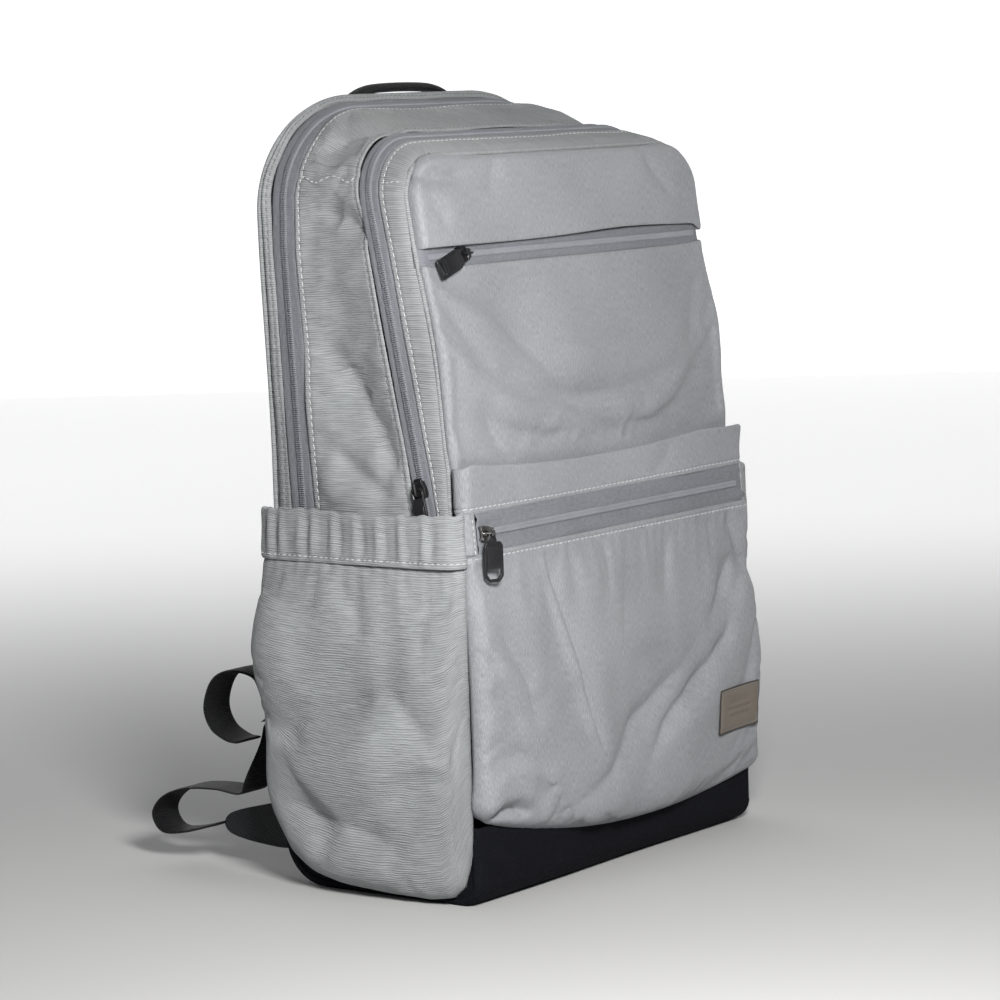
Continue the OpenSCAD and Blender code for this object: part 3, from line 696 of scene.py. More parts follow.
def run_cloth(frames=18):
    """Simulates every asked-for cloth together and keeps how far its points moved."""
    if not SIM:
        return
    made = {}
    for key, job in SIM.items():
        rows, cols, _ = job["coarse"].shape
        mesh = bpy.data.meshes.new("sim_" + key)
        outward = grid_normals(job["coarse"], outward_from(job["coarse"]))
        over, down = np.gradient(job["coarse"], axis=1), np.gradient(job["coarse"], axis=0)
        flip = np.sum(np.cross(over, down) * outward) > 0
        mesh.from_pydata([tuple(v) for v in (job["coarse"].reshape(-1, 3) * MM)], [],
                         [tuple(map(int, f)) for f in quads(rows, cols, 0, not flip)])
        piece = bpy.data.objects.new("sim_" + key, mesh)
        scene.collection.objects.link(piece)
        group = piece.vertex_groups.new(name="sewn")
        for i, w in enumerate(job["held"].ravel()):
            if w > 0.01:
                group.add([i], float(min(1, w)), "REPLACE")
        modifier = piece.modifiers.new("Cloth", "CLOTH")
        settings = modifier.settings
        settings.quality = 5
        settings.mass = 0.25
        settings.tension_stiffness = settings.compression_stiffness = 18
        settings.shear_stiffness = 6
        settings.bending_stiffness = job["stiff"]
        settings.air_damping = 2.0
        settings.use_pressure = True
        settings.uniform_pressure_force = job["swell"]
        settings.shrink_min = -job["slack"]
        settings.vertex_group_mass = "sewn"
        settings.pin_stiffness = 1.0
        settings.effector_weights.gravity = 0.15
        modifier.collision_settings.use_collision = False
        modifier.collision_settings.use_self_collision = False
        made[key] = piece
    for number in range(1, frames + 1):
        scene.frame_set(number)
    graph = bpy.context.evaluated_depsgraph_get()
    for key, piece in made.items():
        job = SIM[key]
        result = piece.evaluated_get(graph).to_mesh()
        co = np.zeros(len(result.vertices) * 3, np.float32)
        result.vertices.foreach_get("co", co)
        moved = co.reshape(job["coarse"].shape) / MM - job["coarse"]
        moved *= (1 - np.clip(job["held"], 0, 1))[..., None]
        far = np.linalg.norm(moved, axis=-1, keepdims=True)
        job["moved"] = moved * np.tanh(far / job["cap"]) * job["cap"] / np.maximum(far, 1e-6)
        bpy.data.objects.remove(piece)
    scene.frame_set(1)


def settled(key, grid):
    """The grid moved as its simulated copy moved."""
    job = SIM[key]
    run_v, run_u = job["read"]
    rows, cols, _ = job["moved"].shape
    return grid + np.einsum("ia,abk,jb->ijk", cubic(run_v, rows), job["moved"], cubic(run_u, cols))


def pin_edges(grid, reach=6.0, sides="ltrb"):
    """1 at the sewn edges of a grid, easing to 0 over reach millimetres: l and r are columns, t and b rows."""
    flat = arc_coords(grid) / MM
    u, v = flat[..., 0], flat[..., 1]
    near = np.full(u.shape, 1e9)
    for side, d in (("l", u), ("r", u.max() - u), ("t", v), ("b", v.max() - v)):
        if side in sides:
            near = np.minimum(near, d)
    return 1 - ease((near - 1.5) / reach)


# ---------------------------------------------------------------- side, top and rear strips
S = stations()
RING_OUT = (0, 10, 230)


def shaped(grid, height, outward=None):
    normal = grid_normals(grid, outward_from(grid, RING_OUT) if outward is None else outward)
    return grid + normal * height[..., None]


def ring_flat(grid):
    """Cloth coordinates: distances across and along the grid, in metres."""
    flat = arc_coords(grid)
    return flat


def zip_sink(z):
    """How far the main zip and its neighbours sink towards the shell above the sliders' travel."""
    return 2.2 * ease((z - 372) / 30) * (1 - 0.35 * ease((z - 430) / 25))


# rear gusset: back seam to main zip
rear_start = np.full(S.shape, BACK_Y - 0.4)
rear_end = zip_depth(S, MAIN_ZIP, MAIN_TAPE)
rear_w = float(np.mean(rear_start - rear_end))
rear_d = spread(rear_w, 2.6)
rear_grid = strip(S, rear_start, rear_end, rear_d / rear_w)
rear_z = rear_grid[..., 2]
rear_h = sewn(rear_d)[None, :] + folded(rear_w - rear_d)[None, :] + 1.2 * np.sin(math.pi * rear_d / rear_w)[None, :]
rear_h = rear_h + 0.5 * uneven(rear_grid[..., 1], rear_z + rear_grid[..., 0], 3, 40, 160)
rear_h = rear_h - zip_sink(rear_z) * (rear_d / rear_w)[None, :] ** 2

# middle strip: main zip to front zip
mid_start = zip_depth(S, MAIN_ZIP, -MAIN_TAPE)
mid_end = zip_depth(S, FRONT_ZIP, FRONT_TAPE)
mid_w = float(np.mean((mid_start - mid_end)[(S > 0.6) & (S < 1.5)]))
mid_d = spread(mid_w, 2.6)
mid_share = mid_d / mid_w
mid_grid = strip(S, mid_start, mid_end, mid_share)
mid_y, mid_z, mid_x = mid_grid[..., 1], mid_grid[..., 2], mid_grid[..., 0]
run_s = ring_flat(mid_grid)[..., 1] / MM
sag = -3.0 * np.sin(math.pi * mid_share)[None, :] * ease((mid_z - 235) / 60) * (1 - ease((mid_z - 385) / 30))
top_crown = 2.5 * np.sin(math.pi * mid_share)[None, :] * ease((mid_z - 430) / 12)
mid_h = folded(mid_d)[None, :] + folded(mid_w - mid_d)[None, :] + sag + top_crown
mid_h = mid_h + 0.9 * uneven(mid_y, run_s, 11, 60, 190)
mid_h = mid_h + crease(mid_y, mid_z + 1e3 * (mid_x > 0), [(36, 330), (12, 300), (-14, 262), (-26, 238)], 9, 3.6)
mid_h = mid_h + crease(mid_y, mid_z + 1e3 * (mid_x > 0), [(30, 262), (4, 246), (-22, 232)], 7, 2.6)
mid_h = mid_h + crease(mid_y, mid_z + 1e3 * (mid_x > 0), [(34, 398), (10, 392), (-10, 380)], 8, 3.2)
mid_h = mid_h + crease(mid_y, mid_z + 1e3 * (mid_x < 0), [(38, 350), (10, 322), (-18, 300)], 10, 2.2)
mid_h = mid_h + crease(mid_y, mid_z + 1e3 * (mid_x < 0), [(34, 280), (8, 250), (-20, 244)], 8, 1.8)
for corner_side in (-1, 1):
    off = 1e3 * (mid_x * corner_side < 0)
    mid_h = mid_h + crease(mid_y + off, np.abs(mid_x), [(40, 134), (18, 112), (2, 84)], 8, 2.6)
cross_z = 418.0
mid_h = mid_h - 1.0 * hump(mid_z, cross_z, 2.0) * (np.abs(mid_x) > 60)
mid_h = mid_h - zip_sink(mid_z) * (1 - mid_share)[None, :] ** 2

# front gusset: front zip to front seam
fg_start = zip_depth(S, FRONT_ZIP, -FRONT_TAPE)
fg_end = seam_depth(S)
fg_w = float(np.mean((fg_start - fg_end)[(S > 0.6)]))
fg_d = spread(fg_w, 2.2)
fg_share = fg_d / fg_w
fg_grid = strip(S, fg_start, fg_end, fg_share)
fg_y, fg_z, fg_x = fg_grid[..., 1], fg_grid[..., 2], fg_grid[..., 0]
fg_run = ring_flat(fg_grid)[..., 1] / MM
fg_h = folded(fg_d)[None, :] + sewn(fg_w - fg_d)[None, :] + 0.8 * np.sin(math.pi * fg_share)[None, :]
gather = np.maximum(0, np.sin(2 * math.pi * fg_run / 27 + 1.3 * np.sin(fg_run / 31))) ** 2
fg_h = fg_h - 1.3 * gather * fg_share[None, :] ** 1.5 * ease((fg_z - 400) / 20)
fg_h = fg_h + 0.4 * uneven(fg_y * 2, fg_run, 17, 50, 140)

want_settled("middle", shaped(mid_grid, sag + top_crown), pin_edges(mid_grid, 8, "lr"), 1.2, 0.012, cap=3.0)


# ---------------------------------------------------------------- front panels
FRONT_HALF = HALF_W - TAPER * (BACK_Y - FRONT_TOP_Y) + 0.2
TOP_CORNER = 26.0


def front_half(z):
    """Half width of the front face at height z."""
    up = np.clip(z - (FRONT_TOP_Z - TOP_CORNER), 0, TOP_CORNER)
    return FRONT_HALF - TOP_CORNER + np.sqrt(np.maximum(TOP_CORNER**2 - up**2, 0))


def rounded(inset, radius):
    """Set-back of a rounded edge at a distance from it."""
    t = np.clip(1 - inset / radius, 0, 1)
    return radius * (1 - np.sqrt(np.maximum(1 - t * t, 0)))


def edge_inset(x, z):
    """Distance of a point of the front face from its outline."""
    cx, cz = FRONT_HALF - TOP_CORNER, FRONT_TOP_Z - TOP_CORNER
    in_corner = (np.abs(x) > cx) & (z > cz)
    corner = TOP_CORNER - np.hypot(np.abs(x) - cx, z - cz)
    return np.maximum(np.where(in_corner, corner, np.minimum(FRONT_HALF - np.abs(x), FRONT_TOP_Z - z)), 0)


def face_grid(z_levels, columns, lift=0.0, top_only=False):
    """Grid of the upper front face between heights, with rounded edges; lift stands it proud."""
    z = z_levels[:, None] + 0 * columns[None, :]
    x = columns[None, :] * front_half(z)
    inset = edge_inset(x, z)
    y = front_y(z) - FACE_LIFT - lift + rounded(inset, EDGE_ROUND) - face_swell(z)
    return np.stack([x, y, z], -1), inset


def columns_for(half, step=2.4):
    """Columns from -1 to 1, close together at the sewn edges."""
    d = spread(2 * half, step)
    return d / half - 1


cols = columns_for(FRONT_HALF)
FRONT_OUT = np.array([0, -1.0, 0.12])

# yoke: a satin flap over the upper zip
yoke_low = UPPER_ZIP_Z + 4.9
yoke_levels = yoke_low + spread(FRONT_TOP_Z - yoke_low, 2.2)
yoke_grid, yoke_inset = face_grid(yoke_levels, cols)
yoke_x, yoke_z = yoke_grid[..., 0], yoke_grid[..., 2]
yoke_d = yoke_z - yoke_low
yoke_h = 1.9 * np.exp(-((yoke_d / 16) ** 2)) - 1.0 * np.exp(-yoke_d / 0.7) + 0.4 + 2.2 * hump(yoke_d, 28, 18)
yoke_h = yoke_h * ease(yoke_inset / 4) + sewn(yoke_inset)
yoke_h = yoke_h + 0.7 * uneven(yoke_x, yoke_z * 1.5, 23, 70, 200) * ease(yoke_inset / 12)
yoke_h = yoke_h + crease(yoke_x, yoke_z, [(-150, 424), (-132, 416), (-112, 414), (-84, 418)], 5, 2.6, 0.7, 0.35)
yoke_h = yoke_h + crease(yoke_x, yoke_z, [(-136, 404), (-124, 396), (-118, 384)], 5, 1.4)
yoke_h = yoke_h + crease(yoke_x, yoke_z, [(-60, 428), (-66, 414), (-78, 402)], 6, 1.2)
yoke_h = yoke_h + crease(yoke_x, yoke_z, [(88, 426), (100, 408), (118, 392)], 6, 1.5)
yoke_grid[..., 2] += (2.6 * hump(yoke_x, 66, 62) - 4.0 * ease((yoke_x - 131) / 10)) * np.exp(-yoke_d / 14)

# upper front panel, which goes on down behind the pocket
uf_levels = 60 + spread(UPPER_ZIP_Z - 4.6 - 60, 2.6)
uf_grid, uf_inset = face_grid(uf_levels, cols)
uf_x, uf_z = uf_grid[..., 0], uf_grid[..., 2]
uf_top = UPPER_ZIP_Z - 4.6 - uf_z
side_inset = FRONT_HALF - np.abs(uf_x)
uf_h = sewn(side_inset) + 0.9 * np.exp(-((uf_top / 5) ** 2)) - 1.0 * np.exp(-uf_top / 0.7)
upper_part = ease((uf_z - 240) / 25)
uf_soft = 1.5 * uneven(uf_x, uf_z * 1.2, 31, 80, 220) * ease(side_inset / 25) * ease(uf_top / 30) * upper_part
uf_h = uf_h + uf_soft
uf_h = uf_h + crease(uf_x, uf_z, [(-112, 296), (-97, 264), (-86, 248), (-60, 236)], 8, 2.6) * upper_part
uf_h = uf_h + crease(uf_x, uf_z, [(-20, 268), (28, 254), (90, 250), (128, 262)], 8, 2.2) * upper_part
uf_h = uf_h + crease(uf_x, uf_z, [(-100, 360), (-64, 320), (-26, 284), (14, 260), (52, 248)], 12, 2.9, 0.5) * upper_part
uf_h = uf_h + crease(uf_x, uf_z, [(-132, 350), (-116, 318), (-104, 296)], 9, 1.6)
uf_h = uf_h + crease(uf_x, uf_z, [(134, 352), (112, 322), (100, 290)], 9, 1.8)
uf_h = uf_h + 1.6 * hump(uf_x, -20, 60) * hump(uf_z, 300, 32)
uf_h = uf_h - 1.6 * hump(uf_x, -118, 16) * hump(uf_z, 356, 16)
uf_h = uf_h - 2.0 * (1 - upper_part)
want_settled("upper_front", shaped(uf_grid, 0 * uf_h, FRONT_OUT), pin_edges(uf_grid, 10, "lrt") * upper_part
             + (1 - upper_part), 1.5, 0.012, cap=3.0)


# ---------------------------------------------------------------- lower front pocket
POCKET_HALF = HALF_W
BASE_TOP = 46.0


def base_seam(x):
    """Height at which the lower panel meets the base."""
    return 22.0 + 0.00088 * (x - 35) ** 2


def pocket_face(x, z):
    """Depth of the lower pocket's outer face before its creases."""
    knots_z = [18, 30, 46, 62, 90, 130, 160, 190, 203, 227, 254]
    knots_y = [-71.5, -74.5, -76.6, -77.6, -78.6, -78.4, -76.6, -73.9, -72.8, -70.7, -69.8]
    y = np.interp(z, knots_z, knots_y)
    return y


def smooth_rows(field, z, reach=7.0):
    """Evens out kinks of a profile along the heights z."""
    weights = np.exp(-(((z[:, None] - z[None, :]) / reach) ** 2))
    return (weights @ field) / weights.sum(1, keepdims=True)


def pocket_grid(z_levels, columns, radius=9.0, lift=0.0):
    z = z_levels[:, None] + 0 * columns[None, :]
    x = columns[None, :] * POCKET_HALF + 0 * z
    profile = np.array([pocket_face(0, np.array([zz - 5, zz, zz + 5])).mean() for zz in z_levels])
    inset = POCKET_HALF - np.abs(x)
    y = profile[:, None] - lift + rounded(inset, radius)
    return np.stack([x, y, z], -1), inset


pocket_cols = columns_for(POCKET_HALF)
slip_top = 252.5
zip_half = 11.0
slip_levels = (LOWER_ZIP_Z + zip_half) + spread(slip_top - LOWER_ZIP_Z - zip_half, 2.0)
slip_grid, slip_inset = pocket_grid(slip_levels, pocket_cols)
slip_x, slip_z = slip_grid[..., 0].copy(), slip_grid[..., 2].copy()
slip_d = slip_z - (LOWER_ZIP_Z + zip_half)
slip_share = slip_d / slip_d.max()
slip_grid[..., 2] += slip_share * (-5.0 + 8.5 * (np.abs(slip_x + 10) / 140) ** 2.2 - 5.5 * ease((slip_x - 90) / 56))
slip_grid[..., 2] -= slip_share * 3.5 * ease((np.abs(slip_x) - 136) / 10)
slip_h = folded(slip_d) + sewn(slip_inset) * 0.9 - 0.9 * np.exp(-(slip_d.max() - slip_d) / 0.8)
slip_h = slip_h + 0.35 * uneven(slip_x, slip_z * 3, 41, 60, 160) * ease(slip_inset / 14)
slip_h = slip_h + slip_share**2 * (4.5 * hump(slip_x, 122, 26) - 1.5 * hump(slip_x, -30, 70))
slip_h = slip_h + crease(slip_x, slip_z, [(70, 256), (60, 240), (40, 228)], 7, 1.0)
slip_h = slip_h + crease(slip_x, slip_z, [(-120, 254), (-96, 242), (-84, 228)], 9, 1.0)

low_half_zip = LOWER_ZIP_Z - zip_half
panel_rows = spread(160.0, 1.7) / 160.0
low_cols = columns_for(POCKET_HALF, 1.8)
low_x0 = low_cols[None, :] * POCKET_HALF + 0 * panel_rows[:, None]
seam = base_seam(low_x0)
low_z0 = low_half_zip - panel_rows[:, None] * (low_half_zip - seam)
profile_z = np.linspace(10, 210, 201)
profile_y = smooth_rows(pocket_face(0, profile_z)[:, None], profile_z)[:, 0]
low_inset = POCKET_HALF - np.abs(low_x0)
low_y0 = np.interp(low_z0, profile_z, profile_y) + rounded(low_inset, 9.0)
low_grid = np.stack([low_x0, low_y0, low_z0], -1)
low_top = low_half_zip - low_z0
low_bottom = low_z0 - seam
low_h = folded(low_top) + sewn(low_inset)
low_h = low_h - 6.0 * np.exp(-low_bottom / 3.0) + 2.2 * hump(low_bottom, 9, 8)
free = ease(low_inset / 22) * ease(low_top / 26) * ease(low_bottom / 12)
low_h = low_h + 2.2 * uneven(low_x0, low_z0, 53, 90, 230) * free
crown = 6.5 * (1 - (np.abs(low_x0) / POCKET_HALF) ** 2.4) * ease((186 - low_z0) / 55) * ease(low_bottom / 22)
low_h = low_h + 4.6 * hump(low_x0, 146, 28) * hump(low_z0, 100, 36) - 2.2 * hump(low_x0, 146, 20) * hump(low_z0, 164, 13)
low_h = low_h - 2.4 * hump(low_x0, -131, 13) * hump(low_z0, 191, 13)
near_label = hump(low_x0, 114, 30) * hump(low_z0, 78, 20)
low_h = low_h + crown + 3.0 * hump(low_x0, -112, 26) * hump(low_z0, 118, 50)
low_h = low_h + crease(low_x0, low_z0, [(-38, 70), (-49, 104), (-60, 138), (-65, 164), (-70, 184), (-76, 206)], 3.6,
                       2.5, 1.0, 0.2, lean=-0.5)
low_h = low_h + crease(low_x0, low_z0, [(84, 138), (72, 122), (47, 107), (18, 94), (-3, 86), (-15, 72), (-29, 62), (-52, 54),
                                        (-83, 44)], 6.5, 3.0, 0.6, 0.4)
low_h = low_h + crease(low_x0, low_z0, [(116, 146), (104, 124), (86, 110), (63, 98), (32, 80), (16, 66), (4, 56)], 5.0, 3.6, 0.8,
                       0.4)
low_h = low_h + crease(low_x0, low_z0, [(-128, 168), (-108, 130), (-98, 92)], 9, 2.6, 0.6)
low_h = low_h + crease(low_x0, low_z0, [(126, 178), (108, 150), (84, 128)], 6, 2.6, 0.8)
low_h = low_h + crease(low_x0, low_z0, [(6, 196), (0, 160), (-8, 128)], 10, 1.6, 0.6)
low_h = low_h + crease(low_x0, low_z0, [(60, 203), (52, 180), (46, 150)], 7, 1.4)
low_h = low_h + crease(low_x0, low_z0, [(118, 203), (128, 182), (136, 158)], 6, 2.4)
low_h = low_h + crease(low_x0, low_z0, [(96, 203), (100, 186), (98, 168)], 5, 1.3)
low_h = low_h + crease(low_x0, low_z0, [(-146, 66), (-129, 75), (-107, 75), (-86, 67), (-74, 56)], 7, -2.2, 0.2, 0.25)
low_h = low_h + crease(low_x0, low_z0, [(-143, 49), (-130, 55), (-117, 55), (-100, 48)], 3.4, 3.6, 0.8, 0.3)
low_h = low_h + crease(low_x0, low_z0, [(-146, 128), (-126, 118), (-112, 96)], 8, 1.6)
low_h = low_h + crease(low_x0, low_z0, [(-20, 203), (-14, 184), (-16, 160)], 6, 1.0)
low_h = low_h - (low_h - crown) * 0.6 * near_label
for tuck in range(24):
    tuck_x = -132 + tuck * 11.6 + 2.5 * math.sin(tuck * 2.3)
    low_h = low_h + crease(low_x0, low_z0, [(tuck_x, 204), (tuck_x + 2 * math.sin(tuck), 190)], 2.2, 0.35, 0.4, 0.5)
low_pins = np.maximum(pin_edges(low_grid, 10), 1 - ease((np.hypot(low_x0 + 125, low_z0 - 55) - 22) / 20))
want_settled("lower_panel", shaped(low_grid, crown, FRONT_OUT), low_pins, 1.6, 0.012, cap=3.5)


# ---------------------------------------------------------------- side pockets
HEM_Z, HEM_H = 226.0, 30.0
POCKET_BACK, POCKET_FRONT = 73.0, -68.5


def pocket_bulge(z):
    """How far the side pocket stands out from the side at height z."""
    return np.interp(z, [0, 34, 60, 90, 140, 165, 185, 200, 226], [17.5, 18.5, 20.4, 21.0, 20.8, 18.8, 15.8, 14.8, 14.2])


def pocket_foot(y):
    """Height of the side pocket's lower edge at depth y."""
    return np.interp(y, [-68.5, -67, -63, -55, -40, -10, 20, 40, 56, 66, 72, 80],
                     [36, 24, 11, 4, 1.5, 2, 4, 9, 18, 32, 48, 66])


def side_section(low, z_levels, step=1.2):
    """Grid of the left side pocket: rows from its foot (at level low) up, columns from the rear seam to the front."""
    theta = np.linspace(0, math.pi, int(200 / step))
    c, s = np.cos(theta)[None, :], np.sin(theta)[None, :]
    power = 2 / 4.6
    flat_z = z_levels[:, None] + 0 * theta[None, :]
    rear = POCKET_BACK + 3.0 * hump(flat_z, 115, 62)
    centre, reach = (rear + POCKET_FRONT) / 2, (rear - POCKET_FRONT) / 2
    y = centre + reach * np.sign(c) * np.abs(c) ** power
    top = HEM_Z - HEM_H
    foot = pocket_foot(y) if low else 0 * y + top
    share = (flat_z - 2) / (top - 2)
    z = foot + share * (top - foot) if low else flat_z
    tuck = np.clip((z - foot) / 30, 0, 1) if low else 1 + 0 * z
    tucked = 0.12 + 0.88 * np.sqrt(np.maximum(1 - (1 - tuck) ** 2, 0))
    levels = np.linspace(-7, 7, 5)
    swell = sum(pocket_bulge(z + k) for k in levels) / len(levels)
    x = -(HALF_W - TAPER * (BACK_Y - y)) + 0.4 - swell * tucked * np.abs(s) ** power
    return np.stack([x, y, z], -1)


def even_columns(grid, step):
    """The grid with its columns spread evenly by distance, close together at the ends."""
    mean = grid.mean(0)
    run = np.concatenate([[0], np.cumsum(np.linalg.norm(np.diff(mean, axis=0), axis=1))])
    want = spread(run[-1], step)
    out = np.empty((grid.shape[0], len(want), 3))
    for i in range(grid.shape[0]):
        own = np.concatenate([[0], np.cumsum(np.linalg.norm(np.diff(grid[i], axis=0), axis=1))])
        for k in range(3):
            out[i, :, k] = np.interp(want / want[-1] * own[-1], own, grid[i, :, k])
    return out, want


sp_levels = 2 + spread(HEM_Z - HEM_H - 2, 2.6)
sp_grid, sp_d = even_columns(side_section(True, sp_levels), 2.6)
sp_y, sp_z = sp_grid[..., 1], sp_grid[..., 2]
sp_edge = np.minimum(sp_d, sp_d[-1] - sp_d)[None, :] + 0 * sp_z
sp_top = HEM_Z - HEM_H - sp_z
sp_low = sp_z - sp_z[:1]
sp_free = ease(sp_edge / 18) * ease(sp_low / 25)
sp_base = sewn(sp_edge) + sewn(sp_top + 0.4) * 0.6 - 1.2 * np.exp(-sp_low / 3)
hem_path = sp_d[None, :] + 0 * sp_z
sp_base = sp_base + 0.5 * np.exp(-sp_top / 11) * np.sin(2 * math.pi * hem_path / 9.3 + 2.1 * np.sin(hem_path / 23)) * ease(sp_edge / 8)
side_creases = {
    -1: [([(66, 88), (40, 102), (6, 116), (-26, 124)], 15, 2.9), ([(-14, 132), (-34, 116), (-56, 92)], 11, 1.6),
         ([(60, 58), (30, 47), (-6, 40), (-34, 30)], 14, 2.3), ([(62, 178), (40, 166), (6, 160)], 13, 1.2),
         ([(14, 190), (2, 172), (-6, 150)], 9, 0.9), ([(-52, 188), (-46, 160), (-48, 136)], 10, 0.9)],
    1: [([(44, 160), (34, 120), (36, 76)], 14, 1.3), ([(0, 178), (-8, 130), (-4, 84)], 15, 1.1),
        ([(-50, 180), (-46, 140), (-56, 96)], 12, 1.1), ([(58, 52), (16, 44), (-30, 36)], 13, 1.0),
        ([(-10, 100), (-40, 70), (-60, 60)], 12, 0.9)],
}
hem_levels = HEM_Z - HEM_H + spread(HEM_H, 2.0)
hem_grid, hem_d = even_columns(side_section(False, hem_levels), 1.7)
hem_z = hem_grid[..., 2]
hem_edge = np.minimum(hem_d, hem_d[-1] - hem_d)[None, :] + 0 * hem_z
hem_up = hem_z - (HEM_Z - HEM_H)
hem_run = hem_d[None, :] + 0 * hem_z
sp_pins = pin_edges(sp_grid, 10)
for corner_point in (sp_grid[0, 0], sp_grid[0, -1]):
    sp_pins = np.maximum(sp_pins, 1 - ease((np.linalg.norm(sp_grid - corner_point, axis=-1) - 25) / 25))
for key_side in (-1, 1):
    want_settled(f"side_{key_side}", sp_grid, sp_pins, 1.6 + 0.1 * key_side, 0.009, cap=2.8)

run_cloth()


def mirrored(grid, side):
    out = grid.copy()
    if side > 0:
        out[..., 0] *= -1
    return out


# ---------------------------------------------------------------- sewing it together
ring_coords = lambda g: arc_coords(g)[..., :]


def row_path(grid, normal, row):
    return grid[row], normal[row]


def column_path(grid, normal, column, keep=None):
    pts, nrm = grid[:, column], normal[:, column]
    if keep is not None:
        pts, nrm = pts[keep], nrm[keep]
    return pts, nrm


above_pocket = (S > 0.44) & (S < 4.56)
stitch_col = lambda d, at=3.2: int(np.argmin(np.abs(d - at)))

rear, rear_pts, rear_n = panel("rear_gusset_cloth", shaped(rear_grid, rear_h), "side_fabric", ("rear_gusset",))
mid_now = settled("middle", mid_grid)
middle_pts = shaped(mid_now, mid_h)
seam_cut = 1.0 * hump(mid_z, cross_z, 2.0)
low_part = (S <= 1.36)
high_part = (S >= 1.36) & (S <= 3.64)
split_left = int(np.argmin(np.abs(S - 1.36)))
split_right = len(S) - 1 - split_left
for label, rows, node in (("side_cloth_left", slice(0, split_left + 1), "side_gusset_left"),
                          ("top_cloth", slice(split_left, split_right + 1), "top_gusset"),
                          ("side_cloth_right", slice(split_right, len(S)), "side_gusset_right")):
    panel(label, middle_pts[rows], "side_fabric", (node,), coords=ring_coords(middle_pts)[rows])
mid_n = grid_normals(middle_pts, outward_from(middle_pts))
fg, fg_pts, fg_n = panel("front_gusset_cloth", shaped(fg_grid, fg_h), "side_fabric", ("front_gusset",))

rear_stitch = len(rear_d) - 1 - stitch_col(rear_d)
stitches("rear_gusset_stitch", *column_path(rear_pts, rear_n, rear_stitch, above_pocket), "side_fabric", DARK_THREAD,
         width=0.6)
stitches("middle_stitch_rear", *column_path(middle_pts, mid_n, stitch_col(mid_d), above_pocket), "side_fabric")
stitches("middle_stitch_front", *column_path(middle_pts, mid_n, len(mid_d) - 1 - stitch_col(mid_d), above_pocket),
         "side_fabric", DARK_THREAD, width=0.5)
stitches("front_gusset_stitch", *column_path(fg_pts, fg_n, stitch_col(fg_d), above_pocket), "side_fabric")


def crossing(grid, normal, target, columns, side, wobble):
    """Path over a strip where its height is target, on the given side of the bag."""
    pts, nrm = [], []
    for n, j in enumerate(columns):
        z = grid[:, j, 2]
        rows = np.arange(len(z))[(grid[:, j, 0] * side > 0)]
        zz = z[rows] - (target + wobble * math.sin(n * 0.55))
        k = rows[int(np.argmin(np.abs(zz)))]
        pts.append(grid[k, j])
        nrm.append(normal[k, j])
    return np.array(pts), np.array(nrm)


def evened(path, passes=2):
    path = path.copy()
    for _ in range(passes):
        path[1:-1] = (path[:-2] + path[1:-1] * 2 + path[2:]) / 4
    return path


for side in (-1, 1):
    tag = "left" if side < 0 else "right"
    p, n = crossing(middle_pts, mid_n, cross_z - 2.5, range(6, len(mid_d) - 6), side, 2.0)
    stitches("cross_stitch_" + tag, evened(p) + n * 0.25, n, "side_fabric")
    p, n = crossing(fg_pts, fg_n, cross_z - 4.5, range(3, len(fg_d) - 3), side, 0.0)
    stitches("cross_stitch_front_" + tag, evened(p) + n * 0.25, n, "side_fabric", length=2.6, pitch=3.7)

# piping where the back panel meets the rear gusset
welt = np.stack([*ring(S, np.full(S.shape, BACK_Y - 0.6))], -1)
welt_x = welt[:, 0] - np.sign(welt[:, 0]) * waist(welt[:, 1])
welt_y = np.where(welt[:, 1] < 30, 41 + np.sqrt(np.maximum(900 - np.clip(30 - welt[:, 1], 0, 30) ** 2, 0)), BACK_Y)
welt_path = np.stack([welt_x, welt_y + 0.2, welt[:, 1]], -1)
tube("back_piping", welt_path, "side_fabric", 1.5, sides=8, frame_x=(0, 1, 0))
seam_x, seam_z = ring(S, seam_depth(S))
seam_path = np.stack([seam_x, seam_depth(S), seam_z], -1)
tube("front_seam_cord", seam_path - unit(outward_from(seam_path, (0, 60, 230))) * 1.9, "side_fabric", 1.5, sides=8,
     frame_x=(0, 1, 0))


# ---------------------------------------------------------------- zips
def ring_zip(name, line, half_tape, sink, nodes):
    """A zip that runs round the sides and top: tape, teeth and the shadowed folds beside it."""
    s = stations(0.42)
    offsets = np.array([-1.12, -0.9, -0.66, -0.42, -0.3, 0, 0.3, 0.42, 0.66, 0.9, 1.12]) * half_tape
    grid = np.stack([np.stack([*ring(s, zip_depth(s, line, o)), zip_depth(s, line, o)], -1) for o in offsets], 1)
    grid = grid[..., [0, 2, 1]]
    share = np.abs(offsets / half_tape)[None, :]
    z = grid[..., 2]
    run = arc_coords(grid)[..., 1] / MM
    height = -0.4 - 1.0 * ease((share - 0.9) / 0.2) - sink(z)
    height = height + 0.35 * np.sin(run / 11 + 3 * np.sin(run / 37)) * hump(share, 0.66, 0.2)
    piece, pts, nrm = panel(name + "_tape", shaped(grid, height), "zip_tape", (nodes[0],), thick=0.7)
    middle = len(offsets) // 2
    coil(name + "_coil", pts[:, middle], nrm[:, middle], (nodes[1],))
    return pts, nrm


ring_zip("main_zip", MAIN_ZIP, MAIN_TAPE, lambda z: zip_sink(z) + 0.0, ("main_zip_tape", "main_zip_coil"))
ring_zip("front_zip", FRONT_ZIP, FRONT_TAPE, lambda z: 0 * z, ("front_zip_tape", "front_zip_coil"))


